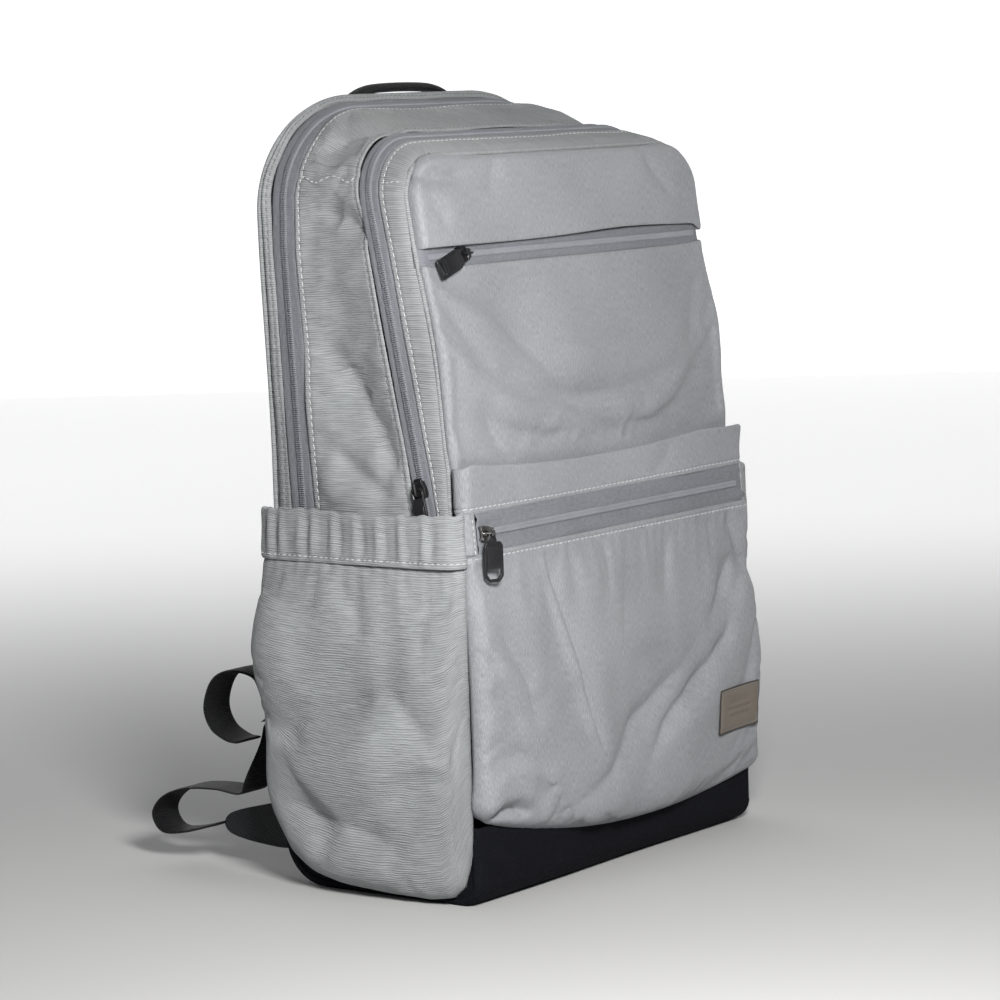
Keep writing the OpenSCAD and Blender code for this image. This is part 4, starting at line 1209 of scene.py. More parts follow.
def flat_zip(name, x_low, x_high, z0, half_tape, depth, nodes, ripple, pitch=1.25):
    """A zip across the front: depth gives the face's y at a height."""
    x = np.linspace(x_low, x_high, int((x_high - x_low) / 2.4))
    offsets = np.array([-1.1, -0.9, -0.7, -0.5, -0.35, -0.2, 0, 0.2, 0.35, 0.5, 0.7, 0.9, 1.1]) * half_tape
    zz = z0 + offsets[None, :] + 0 * x[:, None]
    xx = x[:, None] + 0 * zz
    yy = depth(zz)
    yy = yy + rounded(np.maximum(FRONT_HALF - np.abs(xx), 0), 5.0)
    grid = np.stack([xx, yy, zz], -1)
    share = np.abs(offsets / half_tape)[None, :]
    height = 0.0 - 0.8 * ease((share - 0.85) / 0.25) + ripple * uneven(xx * 0.6, zz * 3, 71, 24, 70) * hump(share, 0.64, 0.16)
    if ripple > 1:
        height = height - 0.8 * hump(share, 0.44, 0.07) + 0.9 * hump(share, 0.62, 0.1)
    piece, pts, nrm = panel(name + "_tape", shaped(grid, height, FRONT_OUT), "zip_tape", (nodes[0],), thick=0.7,
                            outward=FRONT_OUT)
    middle = len(offsets) // 2
    coil(name + "_coil", pts[3:-3, middle], nrm[3:-3, middle], (nodes[1],), pitch)
    return pts, nrm


flat_zip("upper_zip", -FRONT_HALF, FRONT_HALF, UPPER_ZIP_Z, 6.5, lambda z: front_y(z) + 0.4, ("upper_zip_tape", "upper_zip_coil"), 0.2)
zip_low = box_mm("lower_zip_coil")
lower_tilt = 2.0 / 24
lower_face = lambda z: -72.2 + 0.0 + lower_tilt * (z - 203) * 1.0 + 0.0
flat_zip("lower_zip", -137, 141, LOWER_ZIP_Z, 12.0, lambda z: zip_low[0][1] + 1.6 + lower_tilt * (z - LOWER_ZIP_Z),
         ("lower_zip_tape", "lower_zip_coil"), 1.3)


# ---------------------------------------------------------------- front pieces
yoke_pts = shaped(yoke_grid, yoke_h, FRONT_OUT)
panel("yoke_cloth", yoke_pts, "front_fabric", ("yoke_panel",), thick=1.6, outward=FRONT_OUT)
uf_now = settled("upper_front", uf_grid)
uf_pts = shaped(uf_now, uf_h, FRONT_OUT)
panel("upper_front_cloth", uf_pts, "front_fabric", ("upper_front_panel", "pocket_backing"), outward=FRONT_OUT)
slip_pts = shaped(slip_grid, slip_h, FRONT_OUT)
slip, slip_pts, slip_n = panel("slip_band_cloth", slip_pts, "front_fabric", ("slip_pocket_band",), thick=2.0,
                               outward=FRONT_OUT)
low_now = settled("lower_panel", low_grid)
low_pts = shaped(low_now, low_h, FRONT_OUT)
low, low_pts, low_n = panel("lower_panel_cloth", low_pts, "front_fabric", ("lower_pocket_panel",), outward=FRONT_OUT)
edge_rows = slice(3, -3)
row = stitch_col(slip_d[:, 0])
stitches("slip_band_stitch", slip_pts[row, 3:-3], slip_n[row, 3:-3], "front_fabric")
row = stitch_col(low_top[:, 0])
stitches("lower_panel_stitch", low_pts[row, 3:-3], low_n[row, 3:-3], "front_fabric")

# placket at the lower zip's left end
pl_z = np.linspace(LOWER_ZIP_Z - zip_half - 1, LOWER_ZIP_Z + zip_half + 1, 16)
pl_x = -POCKET_HALF + spread(8.2, 1.2)
pl_xx, pl_zz = np.meshgrid(pl_x, pl_z)
pl_y = zip_low[0][1] + 1.6 + lower_tilt * (pl_zz - LOWER_ZIP_Z) + rounded(pl_xx + POCKET_HALF, 7.0)
pl_h = 0.5 - 1.0 * np.exp(-(pl_x[-1] - pl_xx) / 0.6) - 0.5 * hump(pl_x[-1] - pl_xx, 2.4, 0.8)
placket, pl_pts, pl_n = panel("zip_end_placket", shaped(np.stack([pl_xx, pl_y, pl_zz], -1), pl_h, FRONT_OUT),
                              "front_fabric", outward=FRONT_OUT)
pl_col = int(np.argmin(np.abs(pl_x[-1] - pl_x - 2.4)))
stitches("placket_stitch", pl_pts[:, pl_col], pl_n[:, pl_col], "front_fabric", length=2.4, pitch=3.5)
pr_x = POCKET_HALF - spread(6.5, 1.2)
pr_xx, pr_zz = np.meshgrid(pr_x, pl_z)
pr_y = zip_low[0][1] + 1.6 + lower_tilt * (pr_zz - LOWER_ZIP_Z) + rounded(POCKET_HALF - pr_xx, 6.0)
panel("zip_end_tab", shaped(np.stack([pr_xx, pr_y, pr_zz], -1), 0 * pr_xx + 0.4, FRONT_OUT), "front_fabric",
      outward=FRONT_OUT)


# ---------------------------------------------------------------- side pockets
for side in (-1, 1):
    tag = "left" if side < 0 else "right"
    creases = 1.7 * sum(crease(sp_y, sp_z, pts, w, d) for pts, w, d in side_creases[side])
    height = sp_base + creases * sp_free + 2.2 * uneven(sp_y, sp_z, 61 + side, 70, 180) * sp_free
    pts = shaped(settled(f"side_{side}", sp_grid), height, outward_from(sp_grid, (0, 0, 120)))
    _, pts, nrm = panel("side_pocket_cloth_" + tag, mirrored(pts, side), "side_fabric", ("side_pocket_" + tag,))
    pucker = np.sin(2 * math.pi * hem_run / 13.5 + 2.4 * np.sin(hem_run / 24 + side)) + 0.5 * np.sin(hem_run / 1.27 + side)
    fold = 1.0 * pucker * np.sin(math.pi * np.clip(hem_up / HEM_H, 0, 1)) ** 0.7 * ease(hem_edge / 8)
    height = sewn(hem_edge) + folded(hem_up) * 0.8 + fold + 0.5 * uneven(hem_run, hem_z * 2, 67 + side, 30, 90)
    height = height - 0.9 * np.exp(-(HEM_H - hem_up) / 0.8) + 0.5
    clear = (hump(hem_grid[..., 1], -43, 15) + hump(hem_grid[..., 1], 47, 15)) * ease((hem_up - 6) / 10)
    height = np.maximum(height, -2 + 2.6 * clear)
    hem = hem_grid.copy()
    hem[..., 2] += (hem_up / HEM_H) * (0.9 * np.sin(hem_run / 17 + side) + 0.5 * pucker)
    hem_out = outward_from(hem_grid, (0, 0, 211))
    hem = shaped(hem, height, hem_out)
    _, pts, nrm = panel("pocket_hem_cloth_" + tag, mirrored(hem, side), "side_fabric", ("pocket_hem_" + tag,), thick=2.0)
    row = stitch_col(hem_up[:, 0])
    stitches("hem_stitch_" + tag, pts[row, 4:-4], nrm[row, 4:-4], "side_fabric", length=2.8, pitch=4.0)


# ---------------------------------------------------------------- base
def base_profile(z_top):
    """Depths and heights round the base from the front seam under the bag to the back."""
    pts = [(-71.6, z) for z in np.linspace(z_top, 14, 16)]
    pts += [(-58 - 14 * math.cos(a), 14 - 14 * math.sin(a)) for a in np.linspace(0, math.pi / 2, 12)[1:]]
    pts += [(y, 0.0) for y in np.linspace(-56, 42, 36)]
    pts += [(42 + 30 * math.sin(a), 30 - 30 * math.cos(a)) for a in np.linspace(0, math.radians(82), 18)[1:]]
    return np.array(pts)


base_rows = base_profile(BASE_TOP)
base_cols = columns_for(HALF_W - 0.5, 3.0)
bx = base_cols[None, :] * (HALF_W - 0.5) + 0 * base_rows[:, :1]
b_inset = HALF_W - 0.5 - np.abs(bx)
by = base_rows[:, :1] + 0 * bx
bz = base_rows[:, 1:2] + 0 * bx
bend = rounded(b_inset, 5.0)
to_mid = unit(np.stack([0 * bx, 10 - by, 60 - bz], -1))
base_grid = np.stack([bx, by, bz], -1) + to_mid * bend[..., None]
front_zone = ease((-40 - by) / 20)
base_h = 0.6 * uneven(bx, bz + by, 81, 60, 170) * front_zone
for k, bx0 in enumerate((-140, -134, -128)):
    base_h = base_h + crease(bx, bz, [(bx0, 34 - 3 * k), (bx0 + 7, 18 - 3 * k), (bx0 + 12, 5)], 2.4, 1.1, 0.6, 0.4) * front_zone
base_h = base_h - 0.8 * np.exp(-b_inset / 2)
base_h = np.where(bz < 3, np.minimum(base_h, 0), base_h)
base_out = np.stack([0 * bx, by - 5, bz - 60], -1)
panel("base_cloth", shaped(base_grid, base_h, base_out), "base_fabric", ("base_panel",), thick=2.2, outward=base_out)
for side in (-1, 1):
    tag = "left" if side < 0 else "right"
    side_z = np.linspace(0.8, 40, 24)[:, None]
    rear_y = 41 + np.sqrt(np.maximum(900 - np.clip(30 - side_z, 0, 30) ** 2, 0))
    front_edge = -57 - np.sqrt(np.maximum(169 - np.clip(14 - side_z, 0, 13) ** 2, 0))
    yy = front_edge + (rear_y - front_edge) * np.linspace(0, 1, 50)[None, :]
    zz = side_z + 0 * yy
    grid = np.stack([side * (HALF_W - 1.9 - 1.5 * np.exp(-zz / 3)), yy, zz], -1)
    panel("base_side_cloth_" + tag, grid, "base_fabric", outward=np.array([side, 0, 0.0]))


# ---------------------------------------------------------------- back panel and pad
bp_z = FOOT_Z + spread(BODY_H - FOOT_Z - 0.6, 4.0)


def back_half(z):
    up = np.clip(z - (BODY_H - 66), 0, 66)
    return HALF_W - 86 + 86 * np.sqrt(np.maximum(1 - (up / 66) ** 2, 0)) - waist(z)


bp_cols = columns_for(HALF_W, 4.0)
bp_zz = bp_z[:, None] + 0 * bp_cols[None, :]
bp_xx = bp_cols[None, :] * back_half(bp_zz)
bp_in = np.minimum(back_half(bp_zz) - np.abs(bp_xx), BODY_H - bp_zz)
bp_y = np.where(bp_zz < 30, 42 + np.sqrt(np.maximum(900 - (30 - bp_zz) ** 2, 0)), BACK_Y) - 0.3
bp_grid = np.stack([bp_xx, bp_y, bp_zz], -1)
BACK_OUT = np.array([0, 1.0, 0])
bp_h = -0.8 * np.exp(-bp_in / 2) - 0.6 + 0 * bp_xx
panel("back_cloth", shaped(bp_grid, bp_h, BACK_OUT), "side_fabric", ("back_panel",), outward=BACK_OUT)

pad_low, pad_high = box_mm("back_pad")
pad_cx, pad_cz = (pad_low[0] + pad_high[0]) / 2, (pad_low[2] + pad_high[2]) / 2
pad_rx, pad_rz = (pad_high[0] - pad_low[0]) / 2, (pad_high[2] - pad_low[2]) / 2
pu = np.linspace(-1, 1, 97)
pv = np.linspace(-1, 1, 141)
puu, pvv = np.meshgrid(pu, pv)
corner = 22.0
px, pz = puu * pad_rx, pvv * pad_rz
over = np.maximum(np.abs(px) - (pad_rx - corner), 0)
rise = np.maximum(np.abs(pz) - (pad_rz - corner), 0)
shrink = np.where((over > 0) & (rise > 0), np.minimum(1, corner / np.maximum(np.hypot(over, rise), 1e-6)), 1.0)
px = np.sign(px) * (np.abs(px) - over + over * shrink)
pz = np.sign(pz) * (np.abs(pz) - rise + rise * shrink)
pad_in = np.minimum(pad_rx - np.abs(px), pad_rz - np.abs(pz))
pad_h = 6.0 * (1 - np.exp(-np.maximum(pad_in, 0) / 6)) + 0.0
pad_h = pad_h - 4.4 * hump(px, 0, 7)
for band_z in (-118, -60, 0, 60, 118):
    pad_h = pad_h - 3.0 * hump(pz - band_z - 0.16 * np.abs(px), 0, 3.4) * (np.abs(px) > 6)
pad_grid = np.stack([px + pad_cx, pad_low[1] + 0.5 + np.maximum(pad_h, 0.0), pz + pad_cz], -1)
pad, _, _ = panel("back_pad_mesh", pad_grid, "back_mesh", ("back_pad",), thick=1.0, outward=BACK_OUT)
rim = np.concatenate([np.stack([px[0], pz[0]], -1), np.stack([px[:, -1], pz[:, -1]], -1)[1:],
                      np.stack([px[-1], pz[-1]], -1)[::-1][1:], np.stack([px[:, 0], pz[:, 0]], -1)[::-1][1:]])
rim3 = np.stack([rim[:, 0] + pad_cx, np.full(len(rim), pad_low[1] + 0.9), rim[:, 1] + pad_cz], -1)
tube("back_pad_binding", rim3[::2], "strap_fabric", 1.7, sides=8, frame_x=(0, 1, 0))


# ---------------------------------------------------------------- straps and webbing
def smooth_route(points, step):
    """A Catmull-Rom curve through points, resampled at equal steps."""
    p = np.asarray(points, float)
    p = np.concatenate([[2 * p[0] - p[1]], p, [2 * p[-1] - p[-2]]])
    out = []
    for i in range(1, len(p) - 2):
        t = np.linspace(0, 1, 24, endpoint=False)[:, None]
        a, b, c, d = p[i - 1], p[i], p[i + 1], p[i + 2]
        out.append(0.5 * (2 * b + (c - a) * t + (2 * a - 5 * b + 4 * c - d) * t**2 + (3 * b - a - 3 * c + d) * t**3))
    out = np.concatenate(out + [p[-2:-1]])
    run = np.concatenate([[0], np.cumsum(np.linalg.norm(np.diff(out, axis=0), axis=1))])
    at = np.linspace(0, run[-1], max(8, int(run[-1] / step)))
    return np.stack([np.interp(at, run, out[:, k]) for k in range(out.shape[1])], -1)


def band(name, centre, width, thick, slot, place, crown=0.0, power=6.0, replaces=(), mat=None, step_u=1.6, body="bag"):
    """A strap along a route in the YZ plane. place moves local (x, y, z) points to the bag."""
    tangent = unit(np.gradient(centre, axis=0))
    normal = np.stack([-tangent[:, 1], tangent[:, 0]], -1)
    count = max(16, int(2 * np.max(width) / step_u))
    angle = np.linspace(0, 2 * math.pi, count, endpoint=False)
    c, s = np.cos(angle), np.sin(angle)
    u = np.sign(c) * np.abs(c) ** (2 / power)
    w = np.sign(s) * np.abs(s) ** (2 / 2.4)
    width = np.broadcast_to(width, (len(centre),))
    thick = np.broadcast_to(thick, (len(centre),))
    half = thick[:, None] / 2 * w[None, :] * (1 + crown * (1 - u[None, :] ** 2))
    x = width[:, None] / 2 * u[None, :]
    yz = centre[:, None] + normal[:, None] * half[..., None]
    grid = np.concatenate([x[..., None], yz], -1)
    grid = place(grid)
    rows, cols = grid.shape[:2]
    verts = np.concatenate([grid.reshape(-1, 3), grid[0].mean(0)[None], grid[-1].mean(0)[None]])
    faces = [tuple(f) for f in quads(rows, cols, 0, False, wrap=True)]
    last = (rows - 1) * cols
    for k in range(cols):
        faces.append((len(verts) - 2, (k + 1) % cols, k))
        faces.append((len(verts) - 1, last + k, last + (k + 1) % cols))
    run = np.concatenate([[0], np.cumsum(np.linalg.norm(np.diff(centre, axis=0), axis=1))])
    flat = np.zeros((len(verts), 3))
    flat[:-2, 0] = (width[:, None] / 2 * u[None, :]).ravel() * MM
    flat[:-2, 1] = np.repeat(run, cols) * MM
    piece = build(name, verts, faces, slot, body, mat, flat, replaces)
    fix = bmesh.new()
    fix.from_mesh(piece.data)
    bmesh.ops.recalc_face_normals(fix, faces=fix.faces)
    fix.to_mesh(piece.data)
    fix.free()
    return piece


STRAP_ROUTE = [[75, 426], [85, 419], [92, 400], [96, 364], [97, 310], [96, 250], [95, 195], [100, 140]]
TAIL_ROUTE = [[102.5, 91], [104.5, 98], [109, 106], [113, 117], [124, 121], [134, 113], [139, 98], [134, 86], [123, 80], [115, 79]]
LOOP_ROUTE = [[101.5, 92.5], [106.5, 89], [110, 82], [110, 56], [114, 48], [134, 49], [158, 47], [176, 40], [184, 29], [177, 19], [160, 20],
              [134, 27]]
GUSSET = [(73, 17), (96, 15.5), (131, 20.5), (131, 32.5), (96, 42.5), (73, 49)]
STRAP_X, WEB_X, STRAP_LEAN = 76.0, 124.0, math.radians(7)


def strap_place(side):
    def place(g):
        z = g[..., 2] - 280
        x = g[..., 0] * math.cos(STRAP_LEAN) + z * math.sin(STRAP_LEAN)
        zz = -g[..., 0] * math.sin(STRAP_LEAN) + z * math.cos(STRAP_LEAN) + 280
        return np.stack([(x - STRAP_X) * (1 if side < 0 else -1), g[..., 1], zz], -1)
    return place


def web_place(side, shift=None):
    def place(g):
        aside = 0 if shift is None else shift(g[..., 1], g[..., 2])
        return np.stack([(g[..., 0] - WEB_X + aside) * (1 if side < 0 else -1), g[..., 1], g[..., 2]], -1)
    return place


def lock_place(side):
    """The strap's leaning frame, drawn over to the middle of the ladder lock at its foot."""
    def place(g):
        out = strap_place(side)(g)
        out[..., 0] += side * 5.6 * ease((142 - g[..., 2]) / 34)
        return out
    return place


for side in (-1, 1):
    tag = "left" if side < 0 else "right"
    route = smooth_route(STRAP_ROUTE, 4.0)
    share = np.linspace(0, 1, len(route))
    width = 58 - 8 * ease((share - 0.55) / 0.4) - 6 * (1 - ease(share / 0.08))
    thick = 9.5 - 4.5 * (1 - ease(share / 0.05)) - 5.0 * ease((share - 0.93) / 0.07)
    strap = band("shoulder_strap_pad_" + tag, route, width, thick, "strap_fabric", strap_place(side), crown=0.12,
                 power=7.0, replaces=("shoulder_strap_" + tag,), step_u=2.2)
    outer = route + np.stack([np.full(len(route), 5.6) * 1.0, 0 * share], -1) * np.stack([1 + 0 * share, share * 0], -1)
    tangent = unit(np.gradient(route, axis=0))
    normal = np.stack([-tangent[:, 1], tangent[:, 0]], -1)
    away = normal * np.sign(normal[:, :1] + 1e-9)
    face = route + away * (thick / 2 * 1.1 + 0.3)[:, None]
    foot = smooth_route([*face[-3:], (102.5, 128), (101, 116), (100.5, 104)], 3.0)
    band("strap_webbing_" + tag, np.concatenate([face[8:-3], foot]), 24.0, 1.4, "webbing", lock_place(side), power=12.0)
    for edge in (-1, 1):
        offset = edge * (width / 2 - 4.0)
        line = np.stack([offset, route[:, 0] + away[:, 0] * (thick / 2), route[:, 1] + away[:, 1] * (thick / 2)], -1)
        line3 = strap_place(side)(line)
        n3 = strap_place(side)(line + np.concatenate([0 * away[:, :1], away], -1)) - line3
        stitches(f"strap_stitch_{tag}_{'in' if edge * side > 0 else 'out'}", line3[3:-4], n3[3:-4], "strap_fabric",
                 BLACK_THREAD, width=0.6, height=0.5)
    band("strap_tail_web_" + tag, smooth_route(TAIL_ROUTE, 1.6), 24.0, 1.5, "webbing",
         web_place(side, lambda y, z: 20 * (1 - ease((y - 104) / 28)) * ease((z - 86) / 10)), power=14.0,
         replaces=("strap_tail_" + tag,))
    band("lower_web_" + tag, smooth_route(LOOP_ROUTE, 1.6), 24.0, 1.5, "webbing",
         web_place(side, lambda y, z: 20 * ease((z - 50) / 34)), power=14.0, replaces=("lower_webbing_" + tag,))
    # anchor flap: twill over the webbing's end
    outline = smooth_route(GUSSET + [GUSSET[0]], 2.0)[:-1]
    centre = outline.mean(0)
    rings = []
    for scale, off in ((0.0, 1.15), (0.4, 1.15), (0.7, 1.1), (0.86, 0.9), (0.93, 1.25), (0.98, 1.1), (1.0, 0.5), (1.0, -0.5),
                       (0.98, -1.1), (0.93, -1.25), (0.86, -0.9), (0.7, -1.1), (0.4, -1.15), (0.0, -1.15)):
        flat = centre + (outline - centre) * max(scale, 0.001)
        rings.append(np.stack([np.full(len(flat), -off), flat[:, 0], flat[:, 1]], -1))
    grid = web_place(side)(np.array(rings))
    verts = grid.reshape(-1, 3)
    faces = quads(len(rings), len(outline), 0, False, wrap=True)
    flat = np.stack([verts[:, 1], verts[:, 2], 0 * verts[:, 0]], -1) * MM
    rotated = np.stack([flat[:, 0] + flat[:, 1], flat[:, 1] - flat[:, 0], flat[:, 2]], -1) * 0.7071
    piece = build("anchor_flap_" + tag, verts, faces, "anchor_fabric", "bag", None, rotated, ("anchor_gusset_" + tag,))
    fix = bmesh.new()
    fix.from_mesh(piece.data)
    bmesh.ops.remove_doubles(fix, verts=fix.verts, dist=0.00003)
    bmesh.ops.recalc_face_normals(fix, faces=fix.faces)
    fix.to_mesh(piece.data)
    fix.free()


# ---------------------------------------------------------------- moulded and cast pieces
def rounded_loop(points, radius, steps=5):
    """A closed outline with its corners rounded; radius is one number or one for each corner."""
    pts = [Vector((*p, 0)) for p in points]
    radii = radius if hasattr(radius, "__len__") else [radius] * len(pts)
    out = []
    for i, p in enumerate(pts):
        a, b = pts[i - 1], pts[(i + 1) % len(pts)]
        da, db = (a - p).normalized(), (b - p).normalized()
        half = da.angle(db) / 2
        cut = min(radii[i] / max(math.tan(half), 1e-6), (a - p).length * 0.49, (b - p).length * 0.49)
        start, end = p + da * cut, p + db * cut
        for k in range(steps + 1):
            t = k / steps
            out.append(((1 - t) ** 2 * start + 2 * t * (1 - t) * p + t**2 * end)[:2])
    return out


def plate(loops, low, high, bevel):
    """Mesh data of a flat piece with holes, its edges rounded by bevel, between two heights, in millimetres."""
    curve = bpy.data.curves.new("plate", "CURVE")
    curve.dimensions = "2D"
    curve.fill_mode = "BOTH"
    curve.bevel_depth = bevel
    curve.bevel_resolution = 3
    curve.offset = -bevel
    curve.extrude = max((high - low) / 2 - bevel, 0.001)
    for loop in loops:
        spline = curve.splines.new("POLY")
        spline.points.add(len(loop) - 1)
        for point, co in zip(spline.points, loop):
            point.co = (co[0], co[1], 0, 1)
        spline.use_cyclic_u = True
    temp = bpy.data.objects.new("plate", curve)
    scene.collection.objects.link(temp)
    graph = bpy.context.evaluated_depsgraph_get()
    mesh = bpy.data.meshes.new_from_object(temp.evaluated_get(graph))
    bpy.data.objects.remove(temp)
    mesh.transform(Matrix.Translation((0, 0, (low + high) / 2)))
    return mesh


def pipe(path, radius, sides=10, squash=1.0, closed=False):
    """Mesh data of a round bar along a path, in millimetres."""
    path = np.asarray(path, float)
    if closed:
        tangent = unit(np.roll(path, -1, 0) - np.roll(path, 1, 0))
    else:
        tangent = unit(np.gradient(path, axis=0))
    start = np.array([0.0, 1.0, 0.0]) if np.abs(tangent[:, 1]).max() < 0.9 else np.array([1.0, 0.0, 0.0])
    side = unit(start - tangent * (tangent @ start)[:, None])
    other = np.cross(tangent, side)
    angle = np.linspace(0, 2 * math.pi, sides, endpoint=False)
    grid = path[:, None] + radius * (side[:, None] * np.cos(angle)[None, :, None]
                                     + other[:, None] * np.sin(angle)[None, :, None] * squash)
    verts = [tuple(v) for v in grid.reshape(-1, 3)]
    rows = len(path)
    faces = [tuple(f) for f in quads(rows, sides, 0, False, wrap=True)]
    if closed:
        last = (rows - 1) * sides
        faces += [(last + k, last + (k + 1) % sides, (k + 1) % sides, k) for k in range(sides)]
    else:
        faces += [tuple(range(sides - 1, -1, -1)), tuple(range((rows - 1) * sides, rows * sides))]
    mesh = bpy.data.meshes.new("pipe")
    mesh.from_pydata(verts, [], faces)
    return mesh


def moulded(name, parts, matrix, slot, body, replaces):
    """One hard piece from several meshes in millimetres, placed by matrix."""
    joined = bmesh.new()
    for mesh in parts:
        joined.from_mesh(mesh)
        bpy.data.meshes.remove(mesh)
    bmesh.ops.remove_doubles(joined, verts=joined.verts, dist=0.0005)
    bmesh.ops.recalc_face_normals(joined, faces=joined.faces)
    for face in joined.faces:
        face.smooth = True
    mesh = bpy.data.meshes.new(name)
    joined.to_mesh(mesh)
    joined.free()
    mesh.transform(Matrix.Scale(MM, 4) @ matrix)
    if matrix.determinant() < 0:
        mesh.flip_normals()
    mesh.set_sharp_from_angle(angle=math.radians(42))
    return adopt(bpy.data.objects.new(name, mesh), slot, body, None, replaces)


def slider_parts():
    """A zip slider along X over its tape at z = 0: flanges, waisted top plate and bridge."""
    waist = [(-6, -2.6), (-5.2, -4.1), (-2.6, -4.5), (0.6, -4.2), (3.2, -2.9), (6, -2.9), (6, 2.9), (3.2, 2.9), (0.6, 4.2),
             (-2.6, 4.5), (-5.2, 4.1), (-6, 2.6)]
    top = plate([rounded_loop(waist, 1.2, 3)], 2.15, 3.6, 0.45)
    parts = [top]
    for s in (-1, 1):
        rail = [(-5.6, s * 2.7), (3.0, s * 2.7), (4.6, s * 2.75), (3.0, s * 3.1), (0.6, s * 4.1), (-2.6, s * 4.4),
                (-5.2, s * 4.0)]
        if s > 0:
            rail = rail[::-1]
        parts.append(plate([rounded_loop(rail, 0.6, 2)], 0.35, 2.6, 0.25))
    arch = [(-3.4, 0, 3.2), (-3.4, 0, 4.6)]
    arch += [(-2.3 + 1.1 * math.cos(a), 0, 5.4 + 1.1 * math.sin(a)) for a in np.linspace(math.pi, math.pi / 2, 5)]
    arch += [(2.3 + 1.1 * math.cos(a), 0, 5.4 + 1.1 * math.sin(a)) for a in np.linspace(math.pi / 2, 0, 5)]
    arch += [(3.4, 0, 4.6), (3.4, 0, 3.2)]
    parts.append(pipe(arch, 0.72, 12, 1.5))
    return parts


def cross_pull_parts(width, length=27.0):
    """A tab on a pin across the slider: the pin at the origin, the tab along -X."""
    h = width / 2
    outer = rounded_loop([(-5.2, -h * 0.72), (-5.2, h * 0.72), (-9, h), (-length, h), (-length, -h), (-9, -h)],
                         [0.8, 0.8, 1.5, 1.6, 1.6, 1.5], 4)
    hole = rounded_loop([(-length + 2.0, -h + 2.0), (-length + 2.0, h - 2.0), (-length + 4.6, h - 2.0),
                         (-length + 4.6, -h + 2.0)], 0.9, 4)
    raised = rounded_loop([(-9.5, -h + 1.3), (-9.5, h - 1.3), (-length + 6.6, h - 1.3), (-length + 6.6, -h + 1.3)], 0.8, 4)
    parts = [plate([outer, hole], -0.8, 0.8, 0.4), plate([raised], 0.3, 1.25, 0.35)]
    loop = [(-6.2, -3.2, 0), (-2.5, -3.7, 0), (-0.6, -3.6, 0), (0, -3.0, 0), (0, 0, 0), (0, 3.0, 0), (-0.6, 3.6, 0),
            (-2.5, 3.7, 0), (-6.2, 3.2, 0)]
    parts.append(pipe(loop, 0.75, 10))
    return parts


def ring_pull_parts(width, length=27.0):
    """A tab that hangs from a ring: the ring round the origin, the tab along -Y, with a D-shaped eye at its end."""
    h = width / 2
    turn = np.linspace(0, 2 * math.pi, 20, endpoint=False)
    ring_path = [(0, 1.75 * math.cos(a) - 0.9, 2.0 * math.sin(a)) for a in turn]
    neck = rounded_loop([(-1.7, -2.4), (1.7, -2.4), (2.3, -6.4), (-2.3, -6.4)], 0.7, 4)
    outer = rounded_loop([(-h * 0.8, -5.4), (h * 0.8, -5.4), (h, -8), (h, -length + 3), (h * 0.55, -length),
                          (-h * 0.55, -length), (-h, -length + 3), (-h, -8)], [1.4, 1.4, 1, 3, 2, 2, 3, 1], 5)
    eye = rounded_loop([(-h + 1.7, -length + 7.6), (h - 1.7, -length + 7.6), (h - 1.7, -length + 4.6),
                        (h * 0.45, -length + 1.9), (-h * 0.45, -length + 1.9), (-h + 1.7, -length + 4.6)],
                       [0.6, 0.6, 1.6, 1.4, 1.4, 1.6], 4)
    raised = rounded_loop([(-h + 1.5, -7.2), (h - 1.5, -7.2), (h - 1.5, -length + 9.2), (-h + 1.5, -length + 9.2)], 0.8, 4)
    return [pipe(ring_path, 0.7, 12, 1.0, True), plate([neck], -0.7, 0.7, 0.3), plate([outer, eye], -0.9, 0.9, 0.45),
            plate([raised], 0.4, 1.5, 0.4)]


def turn(angle, axis):
    return Matrix.Rotation(math.radians(angle), 4, axis)


def move(x, y, z):
    return Matrix.Translation((x, y, z))


MAIN_PARK = (HALF_W - 0.4, MAIN_ZIP[0] + MAIN_ZIP[2] * (208 - MAIN_ZIP[1]), 208.0)
FRONT_PARK = (HALF_W - 2.6, FRONT_ZIP[0], FRONT_ZIP[1])
UPPER_PARK_Y = float(front_y(np.array(UPPER_ZIP_Z))) + 0.2
LOWER_PARK_Y = -71.8
UPPER_TILT = math.degrees(math.atan((FRONT_TOP_Y - FRONT_MID_Y) / (FRONT_TOP_Z - FRONT_MID_Z)))
LOWER_TILT = math.degrees(math.atan(2.0 / 24))
HINGE = 5.0


def on_side_zip(side, place, lean):
    flip = Matrix.Scale(-1, 4, (1, 0, 0)) if side > 0 else Matrix.Identity(4)
    return flip @ move(-place[0], place[1], place[2]) @ turn(-math.degrees(math.atan(lean)), "X") @ turn(-90, "Y")


def on_front(x, y, z, tilt):
    return move(x, y, z) @ turn(90 - tilt, "X")


SLIDERS = [
    ("main_slider_left", "main_pull_left", on_side_zip(-1, MAIN_PARK, MAIN_ZIP[2]), None),
    ("main_slider_right", "main_pull_right", on_side_zip(1, MAIN_PARK, MAIN_ZIP[2]), None),
    ("front_slider", "front_pull", on_side_zip(-1, FRONT_PARK, FRONT_ZIP[2]), None),
    ("upper_slider", "upper_pull", on_front(-106, UPPER_PARK_Y, UPPER_ZIP_Z, UPPER_TILT), turn(19, "Z") @ turn(-5, "Y")),
]
for slider_name, pull_name, place, rest in SLIDERS:
    moulded(slider_name + "_cast", slider_parts(), place, "slider", slider_name, (slider_name,))
    pull_width = 12 if rest else 9
    pull_place = place @ move(0, 0, HINGE) @ (rest or Matrix.Identity(4))
    moulded(pull_name + "_cast", cross_pull_parts(pull_width), pull_place, "zip_pull", pull_name, (pull_name,))
lower_place = on_front(-131, LOWER_PARK_Y, LOWER_ZIP_Z, LOWER_TILT)
